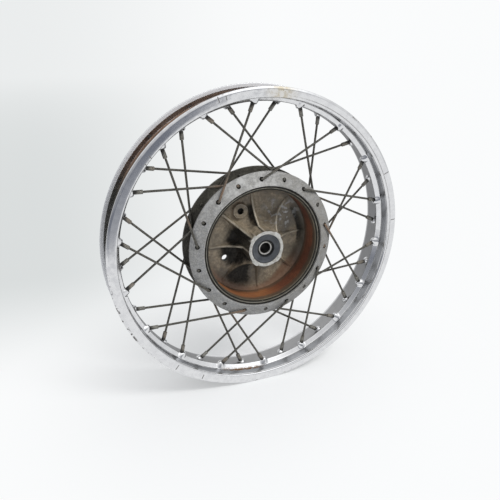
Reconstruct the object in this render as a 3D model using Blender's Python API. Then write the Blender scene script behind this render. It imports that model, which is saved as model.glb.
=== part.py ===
"""Laced motorcycle wheel without its tyre.

A chromed drop-centre rim hangs on 36 bent spokes from a cast hub. The hub is a brake drum with an iron
liner on one side, and it turns on two ball bearings round a set of axle collars.

The hub's centre is the origin, the axle lies along Y, and the open drum faces -Y. The rim is laced a little
towards the other side. A place on the wheel is given by its radius, its clock angle and its y. The clock angle
starts at +Z and grows clockwise for someone who looks along +Y.
"""
import math

import bmesh
import bpy
from mathutils import Matrix, Vector

MM = 0.001

# Fits: the gap that is kept between two pieces that touch
CLEARANCE = 0.3 * MM

# Rim section
BEAD_SEAT_RADIUS = 228.6 * MM
BEAD_WIDTH = 54.6 * MM
RIM_FLANGE_HEIGHT = 13.9 * MM
RIM_FLANGE_THICKNESS = 4.6 * MM
RIM_LIP_ROUND = 1.6 * MM
RIM_WALL = 2.0 * MM
WELL_DEPTH = 7.1 * MM
WELL_WIDTH = 27.0 * MM
WELL_SLOPE = 5.0 * MM
RIM_OFFSET = 3.5 * MM
RIM_STEPS = 72

# Dimples pressed into the rim, one under each nipple
DIMPLE_HEIGHT = 3.6 * MM
DIMPLE_FOOT = (9.2 * MM, 5.6 * MM)
DIMPLE_TOP = (6.2 * MM, 4.8 * MM)
DIMPLE_SIDES = 6

# Lacing: the holes of the two hub flanges, the crossing angle and the turned position of the wheel
HOLES_PER_FLANGE = 18
CROSSING_ANGLE = math.radians(40.0)
LACING_PHASE = math.radians(-2.4)
NIPPLE_STAGGER = 3.0 * MM

# Valve hole, in a gap between two spokes that lean apart, counted in gaps from the first spoke
VALVE_HOLE_RADIUS = 4.2 * MM
VALVE_GAP = 1.5

# Spokes and nipples
SPOKE_RADIUS = 1.75 * MM
SPOKE_HEAD_RADIUS = 3.2 * MM
SPOKE_HEAD_CROWN_RADIUS = 2.3 * MM
SPOKE_HEAD_HEIGHT = 1.6 * MM
SPOKE_BEND = 2.3 * MM
SPOKE_SIDES = 5
NIPPLE_RADIUS = 3.15 * MM
NIPPLE_REACH = 15.8 * MM
NIPPLE_HEAD_RADIUS = 4.4 * MM
NIPPLE_HEAD_HEIGHT = 1.8 * MM
HOLE_SIDES = 6

# Brake drum liner
LINER_RADIUS = 90.0 * MM
LINER_WALL = 5.2 * MM
LINER_WIDTH = 40.0 * MM

# Hub casting
BARREL_WALL = 7.0 * MM
HUB_FLANGE_RISE = 16.7 * MM
HUB_FLANGE_GAP = 35.0 * MM
HUB_FLANGE_EDGE = 2.8 * MM
HUB_FLANGE_CONE = 10.1 * MM
SPOKE_HOLE_INSET = 10.2 * MM
SPOKE_HEAD_SEAT_DEPTH = 2.4 * MM
DRUM_LIP_STEP = 2.5 * MM
DRUM_LIP_DEPTH = 3.8 * MM
WEB_THICKNESS = 7.5 * MM
WEB_FILLET = 5.0 * MM
RECESS_LAND = 8.0 * MM
RECESS_DRAFT = 2.0 * MM
BOSS_WALL = 5.0 * MM
BEARING_SHOULDER = 5.3 * MM
HUB_STEPS = 45

# Ribs, pad and holes of the hub's web
RIB_PAIRS = 4
RIB_ANGLE = math.radians(-49.0)
RIB_THICKNESS = 4.0 * MM
RIB_FOOT_HEIGHT = 1.5 * MM
RIB_CURVE_POINTS = 5
LOW_RIB_HEIGHT = 26.0 * MM
RIB_NUB = 3.0 * MM
WEB_HOLE_CIRCLE = 57.0 * MM
WEB_HOLE_ANGLE = math.radians(-116.5)
WEB_HOLE_RADIUS = 5.2 * MM
WEB_PAD_ANGLE = math.radians(-26.5)
WEB_PAD_RADIUS = 13.0 * MM
WEB_PAD_HEIGHT = 5.0 * MM
WEB_PAD_HOLE_DEPTH = 9.0 * MM
WEB_HOLE_SIDES = 12

# Ball bearings, 17 x 47 x 14 mm
BEARING_BORE_RADIUS = 8.5 * MM
BEARING_OUTER_RADIUS = 23.5 * MM
BEARING_WIDTH = 14.0 * MM
BEARING_SPACING = 28.0 * MM
BALL_RADIUS = 4.35 * MM
BALL_COUNT = 7
GROOVE_DEPTH = 1.9 * MM
CAGE_WIDTH = 3.2 * MM
CAGE_WALL = 1.6 * MM
BEARING_STEPS = 16

# Seals, collars and distance tube on the axle
SEAL_WIDTH = 6.7 * MM
SEAL_LIP_RELIEF = 2.0 * MM
SEAL_LIP_WALL = 2.6 * MM
COLLAR_RADIUS = 10.9 * MM
COLLAR_LENGTH = 2.4 * MM
TUBE_WALL = 3.0 * MM
AXLE_PLAY = 0.2 * MM
AXLE_STEPS = 20

# Radii and places that follow from the sizes above
RIM_RADIUS = BEAD_SEAT_RADIUS + RIM_FLANGE_HEIGHT
RIM_HALF_WIDTH = BEAD_WIDTH / 2 + RIM_FLANGE_THICKNESS
WELL_FLOOR_RADIUS = BEAD_SEAT_RADIUS - WELL_DEPTH
WELL_UNDERSIDE_RADIUS = WELL_FLOOR_RADIUS - RIM_WALL
SEAT_UNDERSIDE_RADIUS = BEAD_SEAT_RADIUS - RIM_WALL
SPOKE_PITCH = math.pi / HOLES_PER_FLANGE

LINER_BORE_RADIUS = LINER_RADIUS + LINER_WALL + CLEARANCE
BARREL_RADIUS = LINER_BORE_RADIUS + BARREL_WALL
HUB_FLANGE_RADIUS = BARREL_RADIUS + HUB_FLANGE_RISE
SPOKE_CIRCLE_RADIUS = HUB_FLANGE_RADIUS - SPOKE_HOLE_INSET
DRUM_LIP_RADIUS = LINER_BORE_RADIUS + DRUM_LIP_STEP
FLANGE_BACK_Y = HUB_FLANGE_GAP / 2
FLANGE_EDGE_Y = FLANGE_BACK_Y + HUB_FLANGE_EDGE
HUB_FACE_Y = FLANGE_EDGE_Y + HUB_FLANGE_CONE
CONE_SLOPE = HUB_FLANGE_CONE / (HUB_FLANGE_RADIUS - DRUM_LIP_RADIUS)
LINER_FRONT_Y = -HUB_FACE_Y + DRUM_LIP_DEPTH
WEB_FACE_Y = LINER_FRONT_Y + LINER_WIDTH + 2 * CLEARANCE
WEB_BACK_Y = WEB_FACE_Y + WEB_THICKNESS

BOSS_BORE_RADIUS = BEARING_OUTER_RADIUS + CLEARANCE
BOSS_RADIUS = BOSS_BORE_RADIUS + BOSS_WALL
SHOULDER_Y = BEARING_SPACING / 2
BEARING_INNER_Y = SHOULDER_Y + CLEARANCE
BEARING_OUTER_Y = BEARING_INNER_Y + BEARING_WIDTH
SEAL_INNER_Y = BEARING_OUTER_Y + CLEARANCE
BOSS_FACE_Y = SEAL_INNER_Y + SEAL_WIDTH + CLEARANCE
BALL_CIRCLE_RADIUS = (BEARING_BORE_RADIUS + BEARING_OUTER_RADIUS) / 2

# Names of the two sides, with the sign of their y
SIDES = {"brake": -1, "sprocket": 1}


def on_wheel(radius, clock, y):
    """Point at a radius and clock angle, at a place along the axle."""
    return Vector((radius * math.sin(clock), y, radius * math.cos(clock)))


def flats(radius, sides):
    """Corner radius of a polygon whose flats lie at the given radius."""
    return radius / math.cos(math.pi / sides)


def cone_y(radius):
    """Distance from the wheel's middle plane to a hub flange's outer face."""
    return HUB_FACE_Y - (radius - DRUM_LIP_RADIUS) * CONE_SLOPE


# Materials

def finish(name, colour, roughness, metallic):
    """Plain surface finish with one colour."""
    material = bpy.data.materials.new(name)
    material.use_nodes = True
    shader = material.node_tree.nodes["Principled BSDF"]
    shader.inputs["Base Color"].default_value = (*colour, 1.0)
    shader.inputs["Roughness"].default_value = roughness
    shader.inputs["Metallic"].default_value = metallic
    return material


def make_finishes():
    """The finishes of the wheel, as they look after years of use."""
    return {
        "chrome": finish("chrome", (0.72, 0.73, 0.75), 0.16, 1.0),
        "spoke_steel": finish("spoke_steel", (0.20, 0.19, 0.17), 0.45, 0.8),
        "cast_alloy": finish("cast_alloy", (0.42, 0.41, 0.38), 0.55, 0.7),
        "rusty_iron": finish("rusty_iron", (0.26, 0.10, 0.05), 0.75, 0.2),
        "bearing_steel": finish("bearing_steel", (0.60, 0.60, 0.60), 0.25, 1.0),
        "seal_rubber": finish("seal_rubber", (0.10, 0.11, 0.13), 0.60, 0.0),
    }


# Building blocks

def add_object(name, bm, material=None, parent=None):
    """Turn a bmesh into a named object with smooth round faces."""
    bmesh.ops.recalc_face_normals(bm, faces=bm.faces)
    mesh = bpy.data.meshes.new(name)
    bm.to_mesh(mesh)
    bm.free()
    mesh.shade_smooth()
    mesh.set_sharp_from_angle(angle=math.radians(30.0))
    if material:
        mesh.materials.append(material)
    piece = bpy.data.objects.new(name, mesh)
    piece.parent = parent
    bpy.context.scene.collection.objects.link(piece)
    return piece


def add_tool(name, bm):
    """Object that only shapes others."""
    tool = add_object(name, bm)
    tool.hide_render = True
    tool.display_type = 'WIRE'
    return tool


def shape_with(piece, operation, tool):
    """Join a tool's shape to a piece, or cut it out."""
    modifier = piece.modifiers.new(tool.name, 'BOOLEAN')
    modifier.operation = operation
    modifier.object = tool
    modifier.solver = 'EXACT'


def turned_mesh(outline, steps, start=0.0):
    """Solid turned round the axle from a closed outline of (y, radius) points."""
    bm = bmesh.new()
    verts = [bm.verts.new(on_wheel(radius, start, y)) for y, radius in outline]
    edges = [bm.edges.new((verts[i - 1], verts[i])) for i in range(len(verts))]
    bmesh.ops.spin(bm, geom=verts + edges, cent=(0, 0, 0), axis=(0, 1, 0),
                   angle=2 * math.pi, steps=steps, use_merge=True)
    return bm


def add_rings(bm, rings):
    """Closed skin over a row of rings that all have the same number of points."""
    loops = [[bm.verts.new(point) for point in ring] for ring in rings]
    sides = len(loops[0])
    for low, high in zip(loops, loops[1:]):
        for i in range(sides):
            bm.faces.new((low[i - 1], low[i], high[i], high[i - 1]))
    bm.faces.new(loops[0])
    bm.faces.new(reversed(loops[-1]))


def add_rod(bm, stations, sides):
    """Round rod through stations of (point, direction, radius), with flat ends."""
    heading = stations[0][1].normalized()
    side = heading.orthogonal().normalized()
    rings = []
    for point, direction, radius in stations:
        turn = heading.rotation_difference(direction)
        side = turn @ side
        heading = direction.normalized()
        rings.append([point + Matrix.Rotation(2 * math.pi * i / sides, 3, heading) @ side * radius
                      for i in range(sides)])
    add_rings(bm, rings)


# Lacing

class SpokeLine:
    """Where one spoke runs: from its hub hole, round its bend and out to the rim."""

    def __init__(self, side, hole, outside):
        """side is -1 or 1, hole counts along the flange, outside says on which face the spoke leaves."""
        self.side = side
        shift = 0.5 if side > 0 else 0.0
        clock = LACING_PHASE + 2 * SPOKE_PITCH * (hole + shift)
        turn = -side if outside else side
        self.rim_clock = clock + turn * CROSSING_ANGLE
        self.outward = Vector((0, side if outside else -side, 0))
        if outside:
            seat_y = FLANGE_BACK_Y - CLEARANCE
            bend_y = cone_y(SPOKE_CIRCLE_RADIUS - SPOKE_RADIUS) + SPOKE_RADIUS + CLEARANCE
        else:
            seat_y = cone_y(SPOKE_CIRCLE_RADIUS) - SPOKE_HEAD_SEAT_DEPTH + CLEARANCE
            bend_y = FLANGE_BACK_Y - SPOKE_RADIUS - CLEARANCE
        self.seat = on_wheel(SPOKE_CIRCLE_RADIUS, clock, side * seat_y)
        self.bend = on_wheel(SPOKE_CIRCLE_RADIUS, clock, side * bend_y)
        self.rim_point = on_wheel(WELL_UNDERSIDE_RADIUS, self.rim_clock, side * NIPPLE_STAGGER)
        self.direction = (self.rim_point - self.bend).normalized()
        self.radial = on_wheel(1.0, self.rim_clock, 0.0)
        self.lean = self.direction.dot(self.radial)

    def number(self):
        """Number of the nipple, counted clockwise from the one near the top."""
        step = round((self.rim_clock - LACING_PHASE) / SPOKE_PITCH)
        return step % (2 * HOLES_PER_FLANGE) + 1

    def along(self, distance):
        """Point on the straight stretch, measured outwards from the rim's underside."""
        return self.rim_point + self.direction * distance


def lacing():
    """All spoke lines: each flange has outside and inside spokes by turns."""
    lines = []
    for side in SIDES.values():
        for hole in range(HOLES_PER_FLANGE):
            outside = (hole % 2 == 0) == (side < 0)
            lines.append(SpokeLine(side, hole, outside))
    return sorted(lines, key=SpokeLine.number)


def nipple_head_start(line):
    """Distance past the rim's underside where the nipple's head clears the well floor."""
    tilt = math.sqrt(1 - line.lean ** 2)
    return (RIM_WALL + CLEARANCE + NIPPLE_HEAD_RADIUS * tilt) / line.lean


def add_spoke(line, material, parent):
    """Spoke with its head, bend, straight stretch and nipple."""
    out = line.outward
    run = line.direction
    head_start = nipple_head_start(line)
    stations = [
        (line.seat - out * SPOKE_HEAD_HEIGHT, out, SPOKE_HEAD_CROWN_RADIUS),
        (line.seat, out, SPOKE_HEAD_RADIUS),
        (line.seat, out, SPOKE_RADIUS),
        (line.bend - out * SPOKE_BEND, out, SPOKE_RADIUS),
        (line.bend + run * SPOKE_BEND, run, SPOKE_RADIUS),
        (line.along(-NIPPLE_REACH), run, SPOKE_RADIUS),
        (line.along(-NIPPLE_REACH), run, NIPPLE_RADIUS),
        (line.along(head_start), run, NIPPLE_RADIUS),
        (line.along(head_start + NIPPLE_HEAD_HEIGHT), run, NIPPLE_HEAD_RADIUS),
    ]
    bm = bmesh.new()
    add_rod(bm, stations, SPOKE_SIDES)
    return add_object(f"spoke_{line.number():02d}", bm, material, parent)


# Rim

def rim_half_outline():
    """Half of the rim's section from the hub side of the well, round the flange, to the well floor."""
    well = WELL_WIDTH / 2
    slope_end = well + WELL_SLOPE
    wall_rise = RIM_WALL * WELL_DEPTH / (WELL_SLOPE + WELL_DEPTH)
    inner = BEAD_WIDTH / 2
    outer = RIM_HALF_WIDTH
    return [
        (well, WELL_UNDERSIDE_RADIUS),
        (slope_end, SEAT_UNDERSIDE_RADIUS),
        (outer, SEAT_UNDERSIDE_RADIUS),
        (outer, RIM_RADIUS - RIM_LIP_ROUND),
        (outer - RIM_LIP_ROUND, RIM_RADIUS),
        (inner, RIM_RADIUS - RIM_LIP_ROUND),
        (inner, BEAD_SEAT_RADIUS),
        (slope_end - wall_rise, BEAD_SEAT_RADIUS),
        (well - wall_rise, WELL_FLOOR_RADIUS),
    ]


def oval(centre, across, along, half_axes, count):
    """Ring of points on an oval."""
    angles = [2 * math.pi * (i + 0.5) / count for i in range(count)]
    return [centre + across * half_axes[0] * math.cos(a) + along * half_axes[1] * math.sin(a) for a in angles]


def add_dimple(bm, line):
    """Oval pad on the hub side of the well that leans with its spoke."""
    tangent = on_wheel(1.0, line.rim_clock + math.pi / 2, 0.0)
    axle = Vector((0, 1, 0))
    foot = line.rim_point + line.radial * RIM_WALL / 2
    top = line.along(-DIMPLE_HEIGHT / line.lean)
    add_rings(bm, [oval(foot, tangent, axle, DIMPLE_FOOT, DIMPLE_SIDES),
                   oval(top, tangent, axle, DIMPLE_TOP, DIMPLE_SIDES)])


def add_rim(lines, material, parent):
    """Drop-centre rim with dimples, nipple holes and the valve hole."""
    half = rim_half_outline()
    section = half + [(-y, radius) for y, radius in reversed(half)]
    outline = [(y + RIM_OFFSET, radius) for y, radius in section]
    start = LACING_PHASE + math.pi / RIM_STEPS
    rim = add_object("rim", turned_mesh(outline, RIM_STEPS, start), material, parent)

    dimples = bmesh.new()
    for line in lines:
        add_dimple(dimples, line)
    shape_with(rim, 'UNION', add_tool("dimple_tool", dimples))

    holes = bmesh.new()
    hole_radius = flats(NIPPLE_RADIUS + CLEARANCE, HOLE_SIDES)
    for line in lines:
        reach = DIMPLE_FOOT[0]
        add_rod(holes, [(line.along(-reach), line.direction, hole_radius),
                        (line.along(reach), line.direction, hole_radius)], HOLE_SIDES)
    valve_clock = LACING_PHASE + SPOKE_PITCH * VALVE_GAP
    valve_line = on_wheel(1.0, valve_clock, 0.0)
    valve_ends = [on_wheel(radius, valve_clock, RIM_OFFSET)
                  for radius in (WELL_UNDERSIDE_RADIUS - WELL_DEPTH, BEAD_SEAT_RADIUS)]
    add_rod(holes, [(end, valve_line, VALVE_HOLE_RADIUS) for end in valve_ends], WEB_HOLE_SIDES)
    shape_with(rim, 'DIFFERENCE', add_tool("rim_hole_tool", holes))
    return rim


# Hub

def hub_outline():
    """Section of the hub casting, from the drum's lip over the flanges and back through the boss."""
    return [
        (-HUB_FACE_Y, DRUM_LIP_RADIUS),
        (-FLANGE_EDGE_Y, HUB_FLANGE_RADIUS),
        (-FLANGE_BACK_Y, HUB_FLANGE_RADIUS),
        (-FLANGE_BACK_Y, BARREL_RADIUS),
        (FLANGE_BACK_Y, BARREL_RADIUS),
        (FLANGE_BACK_Y, HUB_FLANGE_RADIUS),
        (FLANGE_EDGE_Y, HUB_FLANGE_RADIUS),
        (HUB_FACE_Y, DRUM_LIP_RADIUS),
        (HUB_FACE_Y, DRUM_LIP_RADIUS - RECESS_LAND),
        (WEB_BACK_Y, DRUM_LIP_RADIUS - RECESS_LAND - RECESS_DRAFT),
        (WEB_BACK_Y, BOSS_RADIUS + WEB_FILLET),
        (WEB_BACK_Y + WEB_FILLET / 2, BOSS_RADIUS),
        (BOSS_FACE_Y, BOSS_RADIUS),
        (BOSS_FACE_Y, BOSS_BORE_RADIUS),
        (SHOULDER_Y, BOSS_BORE_RADIUS),
        (SHOULDER_Y, BOSS_BORE_RADIUS - BEARING_SHOULDER),
        (-SHOULDER_Y, BOSS_BORE_RADIUS - BEARING_SHOULDER),
        (-SHOULDER_Y, BOSS_BORE_RADIUS),
        (-BOSS_FACE_Y, BOSS_BORE_RADIUS),
        (-BOSS_FACE_Y, BOSS_RADIUS),
        (WEB_FACE_Y - WEB_FILLET, BOSS_RADIUS),
        (WEB_FACE_Y, BOSS_RADIUS + WEB_FILLET),
        (WEB_FACE_Y, LINER_BORE_RADIUS),
        (LINER_FRONT_Y, LINER_BORE_RADIUS),
        (LINER_FRONT_Y, DRUM_LIP_RADIUS),
    ]


def rib_outline(top_y, nub):
    """Side view of a web rib as (radius, y): level on its nub, then sweeping down to the drum wall."""
    root = BOSS_RADIUS - BOSS_WALL / 2
    start = BOSS_RADIUS + nub
    end = LINER_RADIUS - CLEARANCE
    foot_y = WEB_FACE_Y - RIB_FOOT_HEIGHT
    base_y = WEB_FACE_Y + WEB_THICKNESS / 2
    points = [(root, base_y), (root, top_y)]
    for i in range(RIB_CURVE_POINTS + 1):
        share = i / RIB_CURVE_POINTS
        points.append((start + (end - start) * share, foot_y + (top_y - foot_y) * (1 - share) ** 3))
    points.append((end, base_y))
    return points


def add_rib(bm, clock, top_y, nub):
    """Upright rib from the boss to the drum wall."""
    tangent = on_wheel(1.0, clock + math.pi / 2, 0.0)
    outline = rib_outline(top_y, nub)
    faces = []
    for offset in (-RIB_THICKNESS / 2, RIB_THICKNESS / 2):
        faces.append([on_wheel(radius, clock, y) + tangent * offset for radius, y in outline])
    add_rings(bm, faces)


def hub_additions():
    """Ribs and the round pad that stand on the drum side of the web."""
    bm = bmesh.new()
    axle = Vector((0, 1, 0))
    for i in range(RIB_PAIRS):
        clock = RIB_ANGLE + 2 * math.pi * i / RIB_PAIRS
        add_rib(bm, clock, -BOSS_FACE_Y + CLEARANCE, RIB_NUB)
        add_rib(bm, clock + math.pi / RIB_PAIRS, WEB_FACE_Y - LOW_RIB_HEIGHT, 0.0)
    pad_ends = [on_wheel(WEB_HOLE_CIRCLE, WEB_PAD_ANGLE, y)
                for y in (WEB_FACE_Y - WEB_PAD_HEIGHT, WEB_FACE_Y + WEB_THICKNESS / 2)]
    add_rod(bm, [(end, axle, WEB_PAD_RADIUS) for end in pad_ends], WEB_HOLE_SIDES)
    return bm


def hub_holes(lines):
    """Spoke holes, seats for the spoke heads that show outside, and the holes of the web."""
    bm = bmesh.new()
    axle = Vector((0, 1, 0))
    hole = flats(SPOKE_RADIUS + CLEARANCE, HOLE_SIDES)
    seat = flats(SPOKE_HEAD_RADIUS + CLEARANCE, HOLE_SIDES)
    for line in lines:
        centre = Vector((line.seat.x, 0, line.seat.z))
        out = axle * line.side
        inner = centre + out * (FLANGE_BACK_Y - SPOKE_RADIUS)
        outer = centre + out * (HUB_FACE_Y + SPOKE_RADIUS)
        stations = [(inner, out, hole)]
        if line.outward.dot(out) < 0:
            floor = centre + out * (cone_y(SPOKE_CIRCLE_RADIUS) - SPOKE_HEAD_SEAT_DEPTH)
            stations += [(floor, out, hole), (floor, out, seat), (outer, out, seat)]
        else:
            stations.append((outer, out, hole))
        add_rod(bm, stations, HOLE_SIDES)
    front = WEB_FACE_Y - 2 * WEB_PAD_HEIGHT
    pad_floor = WEB_FACE_Y - WEB_PAD_HEIGHT + WEB_PAD_HOLE_DEPTH
    behind = WEB_BACK_Y + WEB_PAD_HEIGHT
    for clock, back in ((WEB_PAD_ANGLE, pad_floor), (WEB_HOLE_ANGLE, behind)):
        add_rod(bm, [(on_wheel(WEB_HOLE_CIRCLE, clock, front), axle, WEB_HOLE_RADIUS),
                     (on_wheel(WEB_HOLE_CIRCLE, clock, back), axle, WEB_HOLE_RADIUS)], WEB_HOLE_SIDES)
    return bm


def add_hub(lines, material, parent):
    """Cast hub: drum, ribbed web, bearing boss and two drilled flanges."""
    start = LACING_PHASE + math.pi / HUB_STEPS
    hub = add_object("hub_shell", turned_mesh(hub_outline(), HUB_STEPS, start), material, parent)
    shape_with(hub, 'UNION', add_tool("rib_tool", hub_additions()))
    shape_with(hub, 'DIFFERENCE', add_tool("hub_hole_tool", hub_holes(lines)))
    return hub


def add_liner(material, parent):
    """Iron friction ring of the brake drum."""
    front = LINER_FRONT_Y + CLEARANCE
    outer = LINER_RADIUS + LINER_WALL
    outline = [(front, outer), (front + LINER_WIDTH, outer),
               (front + LINER_WIDTH, LINER_RADIUS), (front, LINER_RADIUS)]
    start = LACING_PHASE + math.pi / HUB_STEPS
    return add_object("brake_drum_liner", turned_mesh(outline, HUB_STEPS, start), material, parent)


# Bearings, seals and axle pieces

def race_outline(middle, rim_radius, shoulder, groove):
    """Section of a bearing ring: a plain back at rim_radius and a ball groove below the shoulder."""
    half = BEARING_WIDTH / 2
    mouth = math.sqrt(BALL_RADIUS ** 2 - (shoulder - BALL_CIRCLE_RADIUS) ** 2) + 2 * CLEARANCE
    floor = mouth / 2
    return [(middle - half, rim_radius), (middle + half, rim_radius), (middle + half, shoulder),
            (middle + mouth, shoulder), (middle + floor, groove), (middle - floor, groove),
            (middle - mouth, shoulder), (middle - half, shoulder)]


def add_bearing(side, material, wheel, axle, cage_parent):
    """Outer ring, inner ring, and balls in their cage."""
    middle = SIDES[side] * (BEARING_INNER_Y + BEARING_OUTER_Y) / 2
    reach = BALL_RADIUS + CLEARANCE
    outer_groove = flats(BALL_CIRCLE_RADIUS + reach, BEARING_STEPS)
    inner_groove = BALL_CIRCLE_RADIUS - reach
    outer = race_outline(middle, BEARING_OUTER_RADIUS, outer_groove - GROOVE_DEPTH, outer_groove)
    inner = race_outline(middle, BEARING_BORE_RADIUS, inner_groove + GROOVE_DEPTH, inner_groove)
    add_object(f"bearing_outer_ring_{side}", turned_mesh(outer, BEARING_STEPS), material, wheel)
    add_object(f"bearing_inner_ring_{side}", turned_mesh(inner, BEARING_STEPS), material, axle)

    half = CAGE_WIDTH / 2
    low = BALL_CIRCLE_RADIUS - CAGE_WALL / 2
    band = [(middle - half, low), (middle + half, low),
            (middle + half, low + CAGE_WALL), (middle - half, low + CAGE_WALL)]
    cage = add_object(f"bearing_balls_{side}", turned_mesh(band, 2 * BALL_COUNT), material, cage_parent)
    balls = bmesh.new()
    for i in range(BALL_COUNT):
        place = on_wheel(BALL_CIRCLE_RADIUS, 2 * math.pi * i / BALL_COUNT, middle)
        bmesh.ops.create_uvsphere(balls, u_segments=6, v_segments=4, radius=BALL_RADIUS,
                                  matrix=Matrix.Translation(place))
    shape_with(cage, 'UNION', add_tool(f"ball_tool_{side}", balls))


def add_seal(side, material, parent):
    """Oil seal: an outer band with a thinner lip that reaches in to the collar."""
    sign = SIDES[side]
    inner = sign * SEAL_INNER_Y
    face = sign * (SEAL_INNER_Y + SEAL_WIDTH)
    lip_face = face - sign * SEAL_LIP_RELIEF
    bore = flats(COLLAR_RADIUS + CLEARANCE, AXLE_STEPS)
    outline = [(inner, BEARING_OUTER_RADIUS), (face, BEARING_OUTER_RADIUS),
               (face, BEARING_OUTER_RADIUS - SEAL_LIP_WALL),
               (lip_face, bore), (inner, bore)]
    return add_object(f"oil_seal_{side}", turned_mesh(outline, AXLE_STEPS), material, parent)


def sleeve_outline(start, end, outer, bore):
    """Section of a plain sleeve on the axle."""
    return [(start, outer), (end, outer), (end, bore), (start, bore)]


def add_axle_set(material, parent):
    """Collars outside the bearings and the distance tube between them."""
    bore = BEARING_BORE_RADIUS + AXLE_PLAY
    for side, sign in SIDES.items():
        start = sign * (BEARING_OUTER_Y + CLEARANCE)
        collar = sleeve_outline(start, start + sign * COLLAR_LENGTH, COLLAR_RADIUS, bore)
        add_object(f"axle_collar_{side}", turned_mesh(collar, AXLE_STEPS), material, parent)
    tube = sleeve_outline(-SHOULDER_Y, SHOULDER_Y, bore + TUBE_WALL, bore)
    add_object("distance_tube", turned_mesh(tube, AXLE_STEPS), material, parent)


def add_axis(name, parent=None):
    """Empty on the wheel's axle line that carries the pieces of one moving group."""
    axis = bpy.data.objects.new(name, None)
    axis.parent = parent
    bpy.context.scene.collection.objects.link(axis)
    return axis


def main():
    """Build the wheel."""
    for old in list(bpy.data.objects):
        bpy.data.objects.remove(old)
    finishes = make_finishes()
    axle = add_axis("axle_axis")
    wheel = add_axis("wheel_axis", axle)
    lines = lacing()

    add_rim(lines, finishes["chrome"], wheel)
    for line in lines:
        add_spoke(line, finishes["spoke_steel"], wheel)
    add_hub(lines, finishes["cast_alloy"], wheel)
    add_liner(finishes["rusty_iron"], wheel)
    for side in SIDES:
        cage = add_axis(f"cage_axis_{side}", axle)
        add_bearing(side, finishes["bearing_steel"], wheel, axle, cage)
        add_seal(side, finishes["seal_rubber"], wheel)
    add_axle_set(finishes["bearing_steel"], axle)
    print("spokes:", len(lines), "rim radius:", round(RIM_RADIUS / MM, 1), "mm")


main()
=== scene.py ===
# %% [markdown]
# # A laced motorcycle wheel
#
# The packed model holds every piece of this wheel at its real size: a chromed rim, thirty-six bent spokes,
# a cast hub with a brake drum, and the bearings that it turns on. Those solids are plain, so this script
# dresses them. It models the rim, the spokes and the hub again with the roundings, dimples and ribs that
# catch light, and gives each surface the finish that years on the road have left.

# %% Load the frame
import math

import bpy
import numpy as np
from mathutils import Matrix, Vector


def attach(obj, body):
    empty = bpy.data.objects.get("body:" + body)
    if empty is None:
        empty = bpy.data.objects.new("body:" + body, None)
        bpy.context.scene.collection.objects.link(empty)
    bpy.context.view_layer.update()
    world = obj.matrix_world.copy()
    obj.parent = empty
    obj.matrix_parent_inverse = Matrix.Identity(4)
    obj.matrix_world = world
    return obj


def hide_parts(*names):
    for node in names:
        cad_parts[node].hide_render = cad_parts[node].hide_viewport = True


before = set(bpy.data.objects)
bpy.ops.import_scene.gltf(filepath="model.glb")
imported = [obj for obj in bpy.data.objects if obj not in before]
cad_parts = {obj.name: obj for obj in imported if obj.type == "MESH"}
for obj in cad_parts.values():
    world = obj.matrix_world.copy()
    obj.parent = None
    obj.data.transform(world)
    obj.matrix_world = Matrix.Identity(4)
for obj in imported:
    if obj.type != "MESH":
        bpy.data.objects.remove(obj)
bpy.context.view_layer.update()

MM = 0.001
scene = bpy.context.scene

# %% [markdown]
# ## Camera
#
# The wheel faces -Y and its axle lies along Y. The camera stands in front of it, a little to the left and
# above the axle. A camera can be aimed with a Track To constraint, but then the wheel sits in the middle of
# the picture. Here the three axes of the camera are worked out from two angles, and the wheel's centre is
# shifted a little in the camera's own plane, so the framing needs no lens shift.

# %% Place the camera
CAMERA_AZIMUTH = math.radians(-21.91)
CAMERA_ELEVATION = math.radians(21.20)
CAMERA_DISTANCE = 0.9015
WHEEL_RIGHT_OF_MIDDLE = 0.0122
WHEEL_ABOVE_MIDDLE = 0.0134
CAMERA_LENS = 40.52


def add_camera():
    """Camera at the photograph's viewing angle."""
    level = math.cos(CAMERA_ELEVATION)
    ahead = Vector((-math.sin(CAMERA_AZIMUTH) * level, math.cos(CAMERA_AZIMUTH) * level,
                    -math.sin(CAMERA_ELEVATION)))
    right = ahead.cross(Vector((0, 0, 1))).normalized()
    up = right.cross(ahead)
    data = bpy.data.cameras.new("camera")
    data.lens = CAMERA_LENS
    camera = bpy.data.objects.new("camera", data)
    facing = Matrix((right, up, -ahead)).transposed().to_4x4()
    place = -ahead * CAMERA_DISTANCE - right * WHEEL_RIGHT_OF_MIDDLE - up * WHEEL_ABOVE_MIDDLE
    camera.matrix_world = Matrix.Translation(place) @ facing
    scene.collection.objects.link(camera)
    scene.camera = camera
    return camera


camera = add_camera()
print("camera at", [round(v, 3) for v in camera.matrix_world.translation])

# %% [markdown]
# ## A short way to write finishes
#
# A finish is a tree of shader nodes. Adding each node by hand takes four or five lines, so a helper makes a
# node, sets its options and fills its inputs in one call. What comes out of a node is wrapped in a small
# class that answers to +, - and *. A pattern can then be written like a sum, and each sign in it becomes one
# Math node. The class also has a smooth step, which turns soft clouds into stains with an edge.

# %% Patterns that work like numbers
def add_node(tree, kind, inputs=None, **options):
    """Add a node, set its options and fill its inputs with values or links to patterns."""
    node = tree.nodes.new(kind)
    for key, value in options.items():
        setattr(node, key, value)
    for key, value in (inputs or {}).items():
        if isinstance(value, Pattern):
            tree.links.new(value.socket, node.inputs[key])
        else:
            node.inputs[key].default_value = value
    return node


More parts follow.
